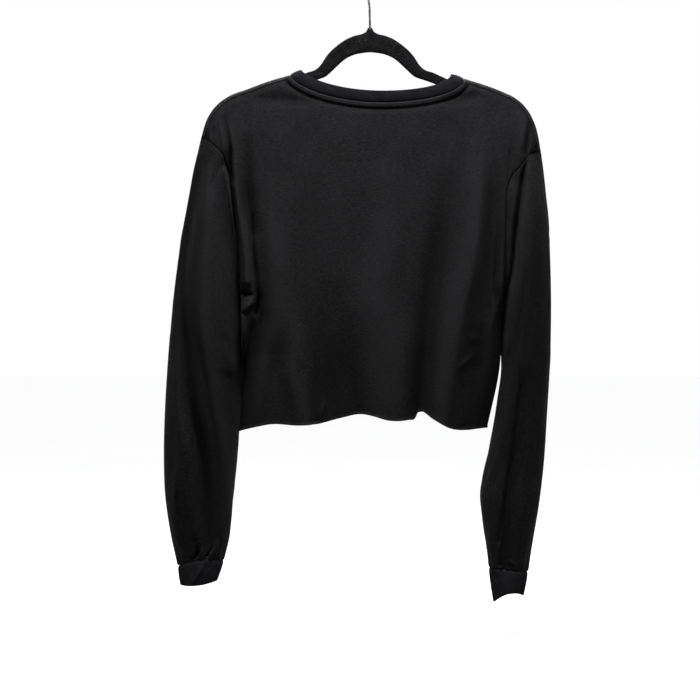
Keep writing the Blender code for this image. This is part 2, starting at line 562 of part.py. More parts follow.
def cloth(name, grid, closed, flip, wall, finish, collection):
    """A cloth piece: the outer surface from its grid, with its wall inside."""
    rows, columns = grid.shape[:2]
    faces = grid_faces(rows, columns, closed)
    if flip:
        faces = [face[::-1] for face in faces]
    made = mesh_object(name, grid.reshape(-1, 3), faces, finish, collection)
    solid = made.modifiers.new("wall", "SOLIDIFY")
    solid.thickness = wall * MM
    solid.offset = -1.0
    solid.use_even_offset = False
    return made


def build_top(collection):
    """The seven sewn pieces of the top."""
    back = placed(with_lips(panel_grid(front=False)), -1)
    front = placed(with_lips(panel_grid(front=True)), 1)
    cloth("back_panel", back, False, True, CLOTH_WALL, JERSEY, collection)
    cloth("front_panel", front, False, False, CLOTH_WALL, JERSEY, collection)
    sleeves = (("left", 0, -1, LEFT_SLEEVE, LEFT_CUFF), ("right", -1, 1, RIGHT_SLEEVE, RIGHT_CUFF))
    for name, edge, side, sections, cuff in sleeves:
        loop = armhole_loop(back, front, edge)
        rings = sleeve_rings(loop, sections, side, f"{name}_sleeve")
        cloth(f"{name}_sleeve", rings, True, side < 0, CLOTH_WALL, JERSEY, collection)
        cloth(f"{name}_cuff", cuff_rings(rings[-1], cuff), True, side < 0, RIB_WALL, RIB_KNIT, collection)
    cloth("neck_band", neck_rings(), True, False, RIB_WALL, RIB_KNIT, collection)


def build_hanger(collection):
    """The hanger as one loft of upright slices, with flat ends."""
    rings = hanger_rings()
    rows, columns = rings.shape[:2]
    faces = grid_faces(rows, columns, True)
    last = (rows - 1) * columns
    faces += [tuple(reversed(range(columns))), tuple(range(last, last + columns))]
    return mesh_object("hanger", rings.reshape(-1, 3), faces, FLOCK, collection)


def build_hook(collection):
    """The hook as a bent wire with closed ends."""
    route = hook_route()
    wire = bpy.data.curves.new("hook", "CURVE")
    wire.dimensions = "3D"
    wire.bevel_depth = HOOK_WIRE / 2 * MM
    wire.bevel_resolution = 2
    wire.use_fill_caps = True
    line = wire.splines.new("POLY")
    line.points.add(len(route) - 1)
    for point, (x, z) in zip(line.points, route):
        point.co = (x * MM, 0.0, z * MM, 1.0)
    wire.materials.append(material("hook", CHROME))
    made = bpy.data.objects.new("hook", wire)
    collection.objects.link(made)
    return made


def main():
    for old in list(bpy.data.objects):
        bpy.data.objects.remove(old, do_unlink=True)
    collection = bpy.data.collections.new(COLLECTION)
    bpy.context.scene.collection.children.link(collection)
    build_top(collection)
    build_hanger(collection)
    build_hook(collection)


main()
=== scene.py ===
"""Looks of a cropped long-sleeve jersey top that hangs on a slim flocked hanger.

Sizes are in millimetres until a mesh is made. +Z is up, the back of the top faces -Y and "left" is
the -X side. "Down" means millimetres below the origin, which is the inner top of the hook. Each
cloth piece lies on the form of its solid, with finer folds, seams, ribs and stitches.
"""

from __future__ import annotations

import logging
import math
from dataclasses import dataclass
from enum import Enum
from typing import Any, Mapping, NamedTuple, Sequence

import bmesh
import bpy
import numpy as np
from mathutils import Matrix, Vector


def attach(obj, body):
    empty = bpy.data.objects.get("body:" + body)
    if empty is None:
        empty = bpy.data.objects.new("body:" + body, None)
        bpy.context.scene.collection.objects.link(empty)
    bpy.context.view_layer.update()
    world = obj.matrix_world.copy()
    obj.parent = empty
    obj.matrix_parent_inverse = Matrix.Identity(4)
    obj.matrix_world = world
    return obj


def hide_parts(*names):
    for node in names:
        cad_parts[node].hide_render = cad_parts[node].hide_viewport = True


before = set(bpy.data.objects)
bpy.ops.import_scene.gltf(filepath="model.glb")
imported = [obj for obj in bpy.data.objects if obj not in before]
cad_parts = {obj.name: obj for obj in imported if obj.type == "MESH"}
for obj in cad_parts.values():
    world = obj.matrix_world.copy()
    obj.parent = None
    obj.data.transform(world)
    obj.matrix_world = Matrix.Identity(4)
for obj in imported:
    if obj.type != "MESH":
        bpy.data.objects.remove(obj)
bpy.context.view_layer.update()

Array = np.ndarray
MM = 0.001
BODY = "root"
LOG = logging.getLogger("cropped_top")


class Half(Enum):
    """The back or the front of the top. The value is the side of Y on which it lies."""

    BACK = -1
    FRONT = 1


class Arm(Enum):
    """The left or the right sleeve. The value is the side of X on which it hangs."""

    LEFT = -1
    RIGHT = 1


# ---------------------------------------------------------------- curves
def through(keys: Sequence[float], values: Sequence[float], at: Array | float) -> Array:
    """Reads a smooth curve through the values at the rising keys.

    Args:
        keys: Where the values lie.
        values: What the curve passes through.
        at: Where to read it.

    Returns:
        The curve's values there.
    """
    keys, values = np.asarray(keys, float), np.asarray(values, float)
    at = np.clip(np.asarray(at, float), keys[0], keys[-1])
    slopes = np.gradient(values, keys)
    i = np.clip(np.searchsorted(keys, at, side="right") - 1, 0, len(keys) - 2)
    span = keys[i + 1] - keys[i]
    t = (at - keys[i]) / span
    start = (1 + 2 * t) * (1 - t) ** 2 * values[i] + t * (1 - t) ** 2 * span * slopes[i]
    end = t * t * (3 - 2 * t) * values[i + 1] - t * t * (1 - t) * span * slopes[i + 1]
    return start + end


def read(rows: Sequence[NamedTuple], key: str, name: str, at: Array | float) -> Array:
    """Reads one named column of a table along its key column.

    Args:
        rows: The table.
        key: The column that says where each row lies.
        name: The column to read.
        at: Where to read it.

    Returns:
        The column's values there.
    """
    return through([getattr(row, key) for row in rows], [getattr(row, name) for row in rows], at)


def soft_step(t: Array | float) -> Array:
    """Rises from 0 to 1 with level ends."""
    t = np.clip(t, 0.0, 1.0)
    return t * t * (3 - 2 * t)


def quarter_round(t: Array | float) -> Array:
    """Rises from 0 to 1 as a quarter circle, steep at its start."""
    return np.sqrt(np.clip(1 - (1 - np.clip(t, 0.0, 1.0)) ** 2, 0.0, 1.0))


def unit(vectors: Array) -> Array:
    """Gives vectors a length of 1."""
    return vectors / np.maximum(np.linalg.norm(vectors, axis=-1, keepdims=True), 1e-9)


def nearest(line: Array, points: Array) -> tuple[Array, Array]:
    """Finds how far points lie from a line of straight stretches in a plane.

    Args:
        line: The line's points, one row each.
        points: The points to measure, with two numbers in the last axis.

    Returns:
        The distance, positive to the left of the line as seen by one who walks down it with -X to
        the left, and the share of the line's points that the nearest place lies at.
    """
    best = np.full(points.shape[:-1], np.inf)
    signed, share = np.zeros_like(best), np.zeros_like(best)
    for i, (start, end) in enumerate(zip(line[:-1], line[1:])):
        along = end - start
        offset = points - start
        t = np.clip(offset @ along / (along @ along), 0.0, 1.0)
        gap = offset - t[..., None] * along
        far = np.hypot(gap[..., 0], gap[..., 1])
        closer = far < best
        side = np.sign(along[0] * offset[..., 1] - along[1] * offset[..., 0])
        best = np.where(closer, far, best)
        signed = np.where(closer, far * np.where(side == 0, 1.0, side), signed)
        share = np.where(closer, (i + t) / (len(line) - 1), share)
    return signed, share


# ---------------------------------------------------------------- tables
class Outline(NamedTuple):
    """A point of a line: across, down."""

    x: float
    down: float


class Side(NamedTuple):
    """A section of the body's side. Level 0 is the shoulder point, 1 the armpit, 2 the hem corner."""

    level: float
    x: float
    down: float
    depth: float
    roll: float


class Depth(NamedTuple):
    """Depth of a panel from the middle plane, beside its rolls and at its middle."""

    down: float
    side: float
    middle: float


class Crease(NamedTuple):
    """A soft ridge, or a trough where its rise is negative, along a smooth line.

    The line's points are across and down, with a rise at each. Left and right are the widths to the
    -X and the +X side of a line that runs down. A line that runs to +X has its left side below it.
    """

    line: tuple[tuple[float, float], ...]
    rise: tuple[float, ...]
    left: float
    right: float


class Section(NamedTuple):
    """An oval of a sleeve: its outer and inner point, half depth, and how far it hangs forward."""

    share: float
    out_x: float
    out_down: float
    in_x: float
    in_down: float
    depth: float
    lean: float


class CuffEdge(NamedTuple):
    """The free edge of a cuff, as a sleeve's oval, and how far its back and front are drawn up."""

    out_x: float
    out_down: float
    in_x: float
    in_down: float
    depth: float
    lean: float
    back_lift: float
    front_lift: float


class NeckLoop(NamedTuple):
    """An oval round the neck that dips at the back and the front."""

    centre: float
    half: float
    left_down: float
    right_down: float
    back_drop: float
    front_drop: float


class Slice(NamedTuple):
    """An upright slice of the hanger: distance from the hook, and down of its top and bottom."""

    out: float
    top: float
    bottom: float


class Wander(NamedTuple):
    """Smooth random unevenness: its seed, the size of its cells and its rise."""

    seed: int
    across: float
    down: float
    rise: float

    def at(self, x: Array, down: Array) -> Array:
        """Reads the unevenness.

        Args:
            x: Across.
            down: Down.

        Returns:
            The rise there.
        """
        size = 64
        cells = np.random.default_rng(self.seed).uniform(-1.0, 1.0, (size, size))
        u, v = x / self.across + size / 2, down / self.down
        i, j = np.floor(u).astype(int), np.floor(v).astype(int)
        s, t = soft_step(u - i), soft_step(v - j)
        near = cells[i % size, j % size] * (1 - s) + cells[(i + 1) % size, j % size] * s
        far = cells[i % size, (j + 1) % size] * (1 - s) + cells[(i + 1) % size, (j + 1) % size] * s
        return self.rise * (near * (1 - t) + far * t)


FRONT_SEEDS = 40        # what a front panel adds to the seeds of its unevenness
CREASE_STEPS = 30
CREASE_REACH = 2.6      # widths past which a crease has faded out
FULL_PAINTED_SHADE = 7.0         # the rise of a fold that gets the full painted shade or painted highlight


def relief(creases: Sequence[Crease], x: Array, down: Array) -> Array:
    """Adds up how far creases lift the cloth.

    Args:
        creases: The creases.
        x: Across.
        down: Down.

    Returns:
        The rise at each point.
    """
    points = np.stack([x, down], axis=-1)
    total = np.zeros(x.shape)
    for crease in creases:
        knots = np.array(crease.line)
        far = np.concatenate([[0.0], np.cumsum(np.linalg.norm(np.diff(knots, axis=0), axis=1))])
        steps = np.linspace(0.0, far[-1], CREASE_STEPS)
        line = np.stack([through(far, knots[:, k], steps) for k in range(2)], axis=-1)
        reach = CREASE_REACH * max(crease.left, crease.right)
        near = np.all((points > line.min(0) - reach) & (points < line.max(0) + reach), axis=-1)
        if near.any():
            gap, place = nearest(line, points[near])
            width = np.where(gap > 0, crease.left, crease.right)
            total[near] += through(far, crease.rise, place * far[-1]) * np.exp(-(gap / width) ** 2)
    return total


# ---------------------------------------------------------------- shader expressions
class Value:
    """A number from a shader node. Python's operators on it add Math nodes."""

    def __init__(self, tree: "ShaderTree", socket: bpy.types.NodeSocket) -> None:
        """Keeps the socket and the tree that it is in."""
        self.tree = tree
        self.socket = socket

    def math(self, operation: str, *others: "Value | float") -> "Value":
        """Adds a Math node.

        Args:
            operation: The node's operation.
            others: Its further operands.

        Returns:
            The node's result.
        """
        made = self.tree.node("ShaderNodeMath", {"operation": operation}, dict(enumerate((self, *others))))
        return Value(self.tree, made.outputs[0])

    def __add__(self, other: "Value | float") -> "Value":
        """Adds."""
        return self.math("ADD", other)

    __radd__ = __add__

    def __mul__(self, other: "Value | float") -> "Value":
        """Multiplies."""
        return self.math("MULTIPLY", other)

    __rmul__ = __mul__

    def __sub__(self, other: "Value | float") -> "Value":
        """Subtracts."""
        return self.math("SUBTRACT", other)

    def __rsub__(self, other: float) -> "Value":
        """Is subtracted from a number."""
        return self.math("MULTIPLY_ADD", -1.0, other)

    def __truediv__(self, other: "Value | float") -> "Value":
        """Divides."""
        return self.math("DIVIDE", other)

    def __pow__(self, other: "Value | float") -> "Value":
        """Raises to a power."""
        return self.math("POWER", other)

    def rise(self, low: float, high: float) -> "Value":
        """Goes softly from 0 at one value to 1 at another.

        Args:
            low: Where it is 0.
            high: Where it is 1.

        Returns:
            The softened value.
        """
        sockets = {"Value": self, "From Min": low, "From Max": high}
        made = self.tree.node("ShaderNodeMapRange", {"interpolation_type": "SMOOTHSTEP"}, sockets)
        return Value(self.tree, made.outputs[0])


class Colour(NamedTuple):
    """A plain colour, from 0 to 1, without gamma."""

    red: float
    green: float
    blue: float

    def socket(self) -> tuple[float, float, float, float]:
        """Gives it as a colour socket takes it."""
        return (*self, 1.0)


class ShaderTree:
    """A material under construction round one Principled shader."""

    def __init__(self, name: str) -> None:
        """Starts a material.

        Args:
            name: The material's name.
        """
        self.material = bpy.data.materials.new(name)
        self.material.use_nodes = True
        self.tree = self.material.node_tree
        self.shader = self.tree.nodes["Principled BSDF"]

    def node(self, kind: str, settings: Mapping[str, Any] | None = None,
             sockets: Mapping[Any, Any] | None = None) -> bpy.types.Node:
        """Adds any node.

        Args:
            kind: The node's type.
            settings: What is set on the node first.
            sockets: The values or links of its inputs.

        Returns:
            The node.
        """
        made = self.tree.nodes.new(kind)
        for name, value in (settings or {}).items():
            setattr(made, name, value)
        self.wire(made, sockets or {})
        return made

    def wire(self, node: bpy.types.Node, sockets: Mapping[Any, Any]) -> None:
        """Sets or links a node's inputs.

        Args:
            node: The node.
            sockets: The values or links of its inputs.
        """
        for key, value in sockets.items():
            if isinstance(value, Value):
                self.tree.links.new(value.socket, node.inputs[key])
            elif isinstance(value, bpy.types.NodeSocket):
                self.tree.links.new(value, node.inputs[key])
            else:
                node.inputs[key].default_value = value

    def set(self, **sockets: Any) -> bpy.types.Material:
        """Sets or links the shader's own inputs.

        Args:
            sockets: The inputs, with _ for each space in their names.

        Returns:
            The material.
        """
        self.wire(self.shader, {name.replace("_", " "): value for name, value in sockets.items()})
        return self.material

    def place(self, of: str, scale: tuple[float, float, float]) -> bpy.types.NodeSocket:
        """Gives texture coordinates.

        Args:
            of: The output of the Texture Coordinate node.
            scale: How much they are multiplied.

        Returns:
            The coordinates' socket.
        """
        start = self.node("ShaderNodeTexCoord").outputs[of]
        return self.node("ShaderNodeMapping", sockets={"Vector": start, "Scale": scale}).outputs[0]

    def noise(self, place: bpy.types.NodeSocket, detail: float = 2.0, roughness: float = 0.5) -> Value:
        """Adds a noise of about one cell a unit.

        Args:
            place: Its coordinates.
            detail: How many finer layers it has.
            roughness: How strong they are.

        Returns:
            A value round 0.5.
        """
        sockets = {"Vector": place, "Scale": 1.0, "Detail": detail, "Roughness": roughness}
        return Value(self, self.node("ShaderNodeTexNoise", sockets=sockets).outputs[0])

    def mix(self, factor: Value, low: Any, high: Any) -> bpy.types.NodeSocket:
        """Mixes two colours.

        Args:
            factor: 0 for the first and 1 for the second.
            low: A colour or a colour socket.
            high: A colour or a colour socket.

        Returns:
            The mixed colour's socket.
        """
        ends = [c.socket() if isinstance(c, Colour) else c for c in (low, high)]
        made = self.node("ShaderNodeMix", {"data_type": "RGBA"}, {0: factor, 6: ends[0], 7: ends[1]})
        return made.outputs[2]

    def bump(self, height: Value, distance: float, strength: float = 1.0) -> bpy.types.NodeSocket:
        """Adds a bump.

        Args:
            height: Its height, from 0 to 1.
            distance: The height of 1, in metres.
            strength: How much of it shows.

        Returns:
            The normal's socket.
        """
        sockets = {"Height": height, "Distance": distance, "Strength": strength}
        return self.node("ShaderNodeBump", sockets=sockets).outputs[0]


def per_metre(*sizes: float) -> tuple[float, float, float]:
    """Turns the sizes of a texture's cells, in millimetres, into coordinate scales."""
    across, down, deep = (*sizes, sizes[-1], sizes[-1])[:3]
    return 1 / (across * MM), 1 / (down * MM), 1 / (deep * MM)


@dataclass(frozen=True)
class Jersey:
    """Black single jersey: columns of small V stitches, mottled, with a little lint, and with painted shade
    in its troughs and painted light on its ridges.
    """

    name: str = "black_jersey"
    dark: Colour = Colour(0.0040, 0.0040, 0.0044)
    light: Colour = Colour(0.0140, 0.0140, 0.0152)
    lint: Colour = Colour(0.050, 0.050, 0.052)
    roughness: float = 0.85
    sheen: float = 0.012
    wale: float = 0.95
    course: float = 0.70
    slant: float = 0.45
    knit_height: float = 0.12
    knit_strength: float = 0.55
    broad_cell: tuple[float, float] = (46.0, 60.0)
    slub_cell: tuple[float, float] = (7.0, 1.6)
    grain_cell: tuple[float, float] = (1.7, 1.3)
    lint_cell: tuple[float, float] = (2.4, 1.8)
    lint_from: float = 0.78         # the noise above which lint shows
    lint_to: float = 0.85
    lint_share: float = 0.5
    mottle: float = 1.75            # how strong its streaks and its grain are
    shade_paint: float = 0.30              # how much painted light brightens a ridge, and painted shade darkens a trough, against level cloth

    def stitches(self, tree: ShaderTree) -> Value:
        """Makes the height of the V stitches.

        Args:
            tree: The material under construction.

        Returns:
            A height from 0 to 1.
        """
        place = tree.place("UV", per_metre(self.wale, self.course))
        apart = tree.node("ShaderNodeSeparateXYZ", sockets={"Vector": place})
        across, along = Value(tree, apart.outputs[0]), Value(tree, apart.outputs[1])
        legs = (across * (2 * math.pi)).math("SINE").math("ABSOLUTE")
        slanted = along + across.math("PINGPONG", 0.5) * (2 * self.slant)
        return legs * ((slanted * (2 * math.pi)).math("SINE") * 0.5 + 0.5)

    def material(self) -> bpy.types.Material:
        """Builds the material."""
        tree = ShaderTree(self.name)
        # painted shade in the folds' troughs and painted highlight on their ridges, read from the mesh
        painted_shade = Value(tree, tree.node("ShaderNodeAttribute", {"attribute_name": "painted_shade"}).outputs["Fac"])
        broad = tree.noise(tree.place("UV", per_metre(*self.broad_cell)), 2.0)
        slub = tree.noise(tree.place("UV", per_metre(*self.slub_cell)), 2.0, 0.6)
        grain = tree.noise(tree.place("UV", per_metre(*self.grain_cell)), 1.0)
        tone = 0.5 + (broad - 0.5) * 0.4 + (slub + grain - 1.0) * self.mottle + painted_shade * self.shade_paint
        cloth = tree.mix(tone.rise(0.0, 1.0), self.dark, self.light)
        specks = tree.noise(tree.place("UV", per_metre(*self.lint_cell)), 0.0)
        specks = specks.rise(self.lint_from, self.lint_to)
        height = self.stitches(tree) + grain * 0.8 + slub * 1.2
        return tree.set(
            Base_Color=tree.mix(specks * self.lint_share, cloth, self.lint),
            Roughness=self.roughness + (slub - 0.5) * 0.12,
            Specular_IOR_Level=0.05,
            Sheen_Weight=self.sheen,
            Sheen_Roughness=0.45,
            Normal=tree.bump(height, self.knit_height * MM, self.knit_strength),
        )


@dataclass(frozen=True)
class RibKnit:
    """Black rib knit, finer than its raised ribs, which are in the mesh and also get painted light on their
    crests and painted shade between them.
    """

    name: str = "black_rib_knit"
    dark: Colour = Colour(0.0042, 0.0040, 0.0052)
    light: Colour = Colour(0.0146, 0.0140, 0.0172)
    roughness: float = 0.85
    sheen: float = 0.012
    wale: float = 1.1
    course: float = 0.75
    knit_height: float = 0.10
    knit_strength: float = 0.6
    cloud_cell: tuple[float, float] = (14.0, 10.0)
    grain_cell: tuple[float, float] = (1.4, 1.4)
    # how much painted light lifts a rib's crest and painted shade darkens the gap between ribs
    shade_paint: float = 0.25

    def material(self) -> bpy.types.Material:
        """Builds the material."""
        tree = ShaderTree(self.name)
        place = tree.place("UV", per_metre(self.wale, self.course))
        apart = tree.node("ShaderNodeSeparateXYZ", sockets={"Vector": place})
        across, along = Value(tree, apart.outputs[0]), Value(tree, apart.outputs[1])
        loops = ((along + across.math("PINGPONG", 0.5)) * (2 * math.pi)).math("SINE") * 0.5 + 0.5
        # painted shade between the ribs and painted highlight on their crests, read from the mesh
        painted_shade = Value(tree, tree.node("ShaderNodeAttribute", {"attribute_name": "painted_shade"}).outputs["Fac"])
        cloud = tree.noise(tree.place("UV", per_metre(*self.cloud_cell)), 2.0)
        grain = tree.noise(tree.place("UV", per_metre(*self.grain_cell)), 1.0)
        tone = 0.45 + (cloud - 0.5) * 0.8 + (grain - 0.5) * 0.9 + painted_shade * self.shade_paint
        return tree.set(
            Base_Color=tree.mix(tone.rise(0.0, 1.0), self.dark, self.light),
            Roughness=self.roughness + (grain - 0.5) * 0.1,
            Specular_IOR_Level=0.05,
            Sheen_Weight=self.sheen,
            Sheen_Roughness=0.45,
            Normal=tree.bump(loops + grain, self.knit_height * MM, self.knit_strength),
        )


@dataclass(frozen=True)
class Thread:
    """Black sewing thread, a little shinier than the cloth."""

    name: str = "black_thread"
    dark: Colour = Colour(0.009, 0.009, 0.010)
    light: Colour = Colour(0.024, 0.024, 0.026)

    def material(self) -> bpy.types.Material:
        """Builds the material."""
        tree = ShaderTree(self.name)
        ply = tree.noise(tree.place("Object", per_metre(0.6)), 1.0)
        return tree.set(
            Base_Color=tree.mix(ply.rise(0.3, 0.7), self.dark, self.light),
            Roughness=0.5 + (ply - 0.5) * 0.2,
            Specular_IOR_Level=0.4,
            Normal=tree.bump(ply, 0.08 * MM),
        )


@dataclass(frozen=True)
class Flock:
    """Black velvet flock: short upright fibres that lie in brushed patches."""

    name: str = "black_flock"
    dark: Colour = Colour(0.0014, 0.0014, 0.0017)
    light: Colour = Colour(0.0090, 0.0090, 0.0098)
    lint: Colour = Colour(0.050, 0.050, 0.052)
    patch_cell: float = 9.0
    fibre_cell: float = 0.55
    lint_cell: float = 1.5
    pile: float = 0.30              # the height of its fibres

    def material(self) -> bpy.types.Material:
        """Builds the material."""
        tree = ShaderTree(self.name)
        patches = tree.noise(tree.place("Object", per_metre(self.patch_cell)), 3.0, 0.6)
        fibres = tree.noise(tree.place("Object", per_metre(self.fibre_cell)), 2.0, 0.7)
        specks = tree.noise(tree.place("Object", per_metre(self.lint_cell)), 0.0).rise(0.74, 0.80)
        tone = 0.5 + (patches - 0.5) * 1.6 + (fibres - 0.5) * 0.9
        flock = tree.mix(tone.rise(0.0, 1.0), self.dark, self.light)
        return tree.set(
            Base_Color=tree.mix(specks * 0.5, flock, self.lint),
            Roughness=0.9 + (fibres - 0.5) * 0.1,
            Specular_IOR_Level=0.05,
            Sheen_Weight=0.03,
            Sheen_Roughness=0.35,
            Normal=tree.bump(fibres * 1.4 + patches, self.pile * MM, 0.8),
        )


@dataclass(frozen=True)
class Chrome:
    """Bright plated wire with faint draw lines and smudges."""

    name: str = "plated_wire"
    dark: Colour = Colour(0.46, 0.47, 0.49)
    light: Colour = Colour(0.72, 0.73, 0.75)

    def material(self) -> bpy.types.Material:
        """Builds the material."""
        tree = ShaderTree(self.name)
        smudge = tree.noise(tree.place("Object", per_metre(12.0)), 3.0)
        lines = tree.noise(tree.place("Object", per_metre(0.5, 0.5, 9.0)), 1.0)
        return tree.set(
            Base_Color=tree.mix(smudge.rise(0.35, 0.65), self.dark, self.light),
            Metallic=1.0,
            Roughness=0.14 + smudge * 0.12,
            Normal=tree.bump(lines, 0.02 * MM, 0.5),
        )


@dataclass(frozen=True)
class PaleFloor:
    """Plain pale floor with a faint unevenness."""

    name: str = "pale_floor"
    dark: Colour = Colour(0.86, 0.86, 0.86)
    light: Colour = Colour(0.90, 0.90, 0.90)
    glow: float = 0.26              # keeps it pale as far as it is seen

    def material(self) -> bpy.types.Material:
        """Builds the material."""
        tree = ShaderTree(self.name)
        cloud = tree.noise(tree.place("Object", per_metre(400.0)), 2.0)
        return tree.set(
            Base_Color=tree.mix(cloud, self.dark, self.light),
            Roughness=0.8,
            Specular_IOR_Level=0.1,
            Emission_Color=(1.0, 1.0, 1.0, 1.0),
            Emission_Strength=self.glow,
        )


# ---------------------------------------------------------------- meshes
def lengths(points: Array, axis: int, closed: bool) -> Array:
    """Measures a grid along one of its axes.

    Args:
        points: The grid.
        axis: 0 down its columns or 1 along its rows.
        closed: Whether it closes on itself along that axis.

    Returns:
        The distance from the start, with one more entry where it is closed.
    """
    if closed:
        points = np.concatenate([points, np.take(points, [0], axis=axis)], axis=axis)
    steps = np.linalg.norm(np.diff(points, axis=axis), axis=-1)
    start = np.zeros_like(np.take(steps, [0], axis=axis))
    return np.concatenate([start, np.cumsum(steps, axis=axis)], axis=axis)


def normals(points: Array, closed: tuple[bool, bool]) -> Array:
    """Finds the directions square to a grid of points.

    Args:
        points: The grid.
        closed: Whether it closes down its columns and along its rows.

    Returns:
        A unit vector for each point.
    """
    slopes = []
    for axis in (0, 1):
        if closed[axis]:
            slopes.append(np.roll(points, -1, axis=axis) - np.roll(points, 1, axis=axis))
        else:
            slopes.append(np.gradient(points, axis=axis))
    return unit(np.cross(slopes[0], slopes[1]))


@dataclass
class Sheet:
    """A grid of points that becomes a cloth piece.

    Attributes:
        points: Rows and columns of points, in millimetres.
        closed: Whether the grid closes down its columns and along its rows.
        flip: Whether its faces turn the other way.
        painted_shade: The painted shade and painted highlight at each point, from -1, darkest, in a trough
            to 1, lightest, on a ridge.
    """

    points: Array
    closed: tuple[bool, bool] = (False, False)
    flip: bool = False
    painted_shade: Array | None = None

    def outward(self) -> Array:
        """Gives the directions out of the cloth's outer face."""
        return normals(self.points, self.closed) * (1.0 if self.flip else -1.0)

    def build(self, name: str, material: bpy.types.Material, wall: float = 0.0) -> bpy.types.Object:
        """Makes the piece.

        Args:
            name: The piece's name.
            material: Its material.
            wall: Thickness of the wall inside the surface, or 0 for a closed form.

        Returns:
            The piece.
        """
        rows, columns = self.points.shape[:2]
        faces_down = rows if self.closed[0] else rows - 1
        faces_along = columns if self.closed[1] else columns - 1
        r, c = (part.ravel() for part in np.meshgrid(range(faces_down), range(faces_along), indexing="ij"))
        corners = [(r, c), (r, c + 1), (r + 1, c + 1), (r + 1, c)]
        if self.flip:
            corners.reverse()
        faces = np.stack([(row % rows) * columns + column % columns for row, column in corners], axis=1)
        mesh = bpy.data.meshes.new(name)
        mesh.from_pydata((self.points.reshape(-1, 3) * MM).tolist(), [], faces.tolist())
        self.lay_out(mesh, corners)
        # stores the painted shade of the folds and ribs for the shader to read
        if self.painted_shade is not None:
            shade_paint = mesh.attributes.new("painted_shade", "FLOAT", "POINT")
            shade_paint.data.foreach_set("value", self.painted_shade.ravel().astype(np.float32))
        mesh.materials.append(material)
        mesh.shade_smooth()
        made = bpy.data.objects.new(name, mesh)
        bpy.context.scene.collection.objects.link(made)
        if wall:
            solid = made.modifiers.new("wall", "SOLIDIFY")
            solid.thickness = wall * MM
            solid.offset = -1.0
            solid.use_even_offset = False
        return made

    def lay_out(self, mesh: bpy.types.Mesh, corners: Sequence[tuple[Array, Array]]) -> None:
        """Gives the mesh flat coordinates of the cloth, in metres.

        Args:
            mesh: The mesh.
            corners: Row and column of each corner of its faces.
        """
        along = lengths(self.points, 1, self.closed[1])
        down = lengths(self.points, 0, self.closed[0])
        along = along - along[:, along.shape[1] // 2:along.shape[1] // 2 + 1]
        rows, columns = self.points.shape[:2]
        flat = [(along[row % rows, column], down[row, column % columns]) for row, column in corners]
        uv = np.array(flat).transpose(2, 0, 1).reshape(-1) * MM
        mesh.uv_layers.new(name="cloth").data.foreach_set("uv", uv.astype(np.float32))


def dress(piece: bpy.types.Object, slot: str, *nodes: str) -> bpy.types.Object:
    """Makes a piece ride on the part and hides the solids that it replaces.

    Args:
        piece: The piece.
        slot: The name of a material slot; not used.
        nodes: The solids that it replaces.

    Returns:
        The piece.
    """
    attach(piece, BODY)
    if nodes:
        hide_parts(*nodes)
    LOG.info("%s: %d points", piece.name, len(piece.data.vertices))
    return piece


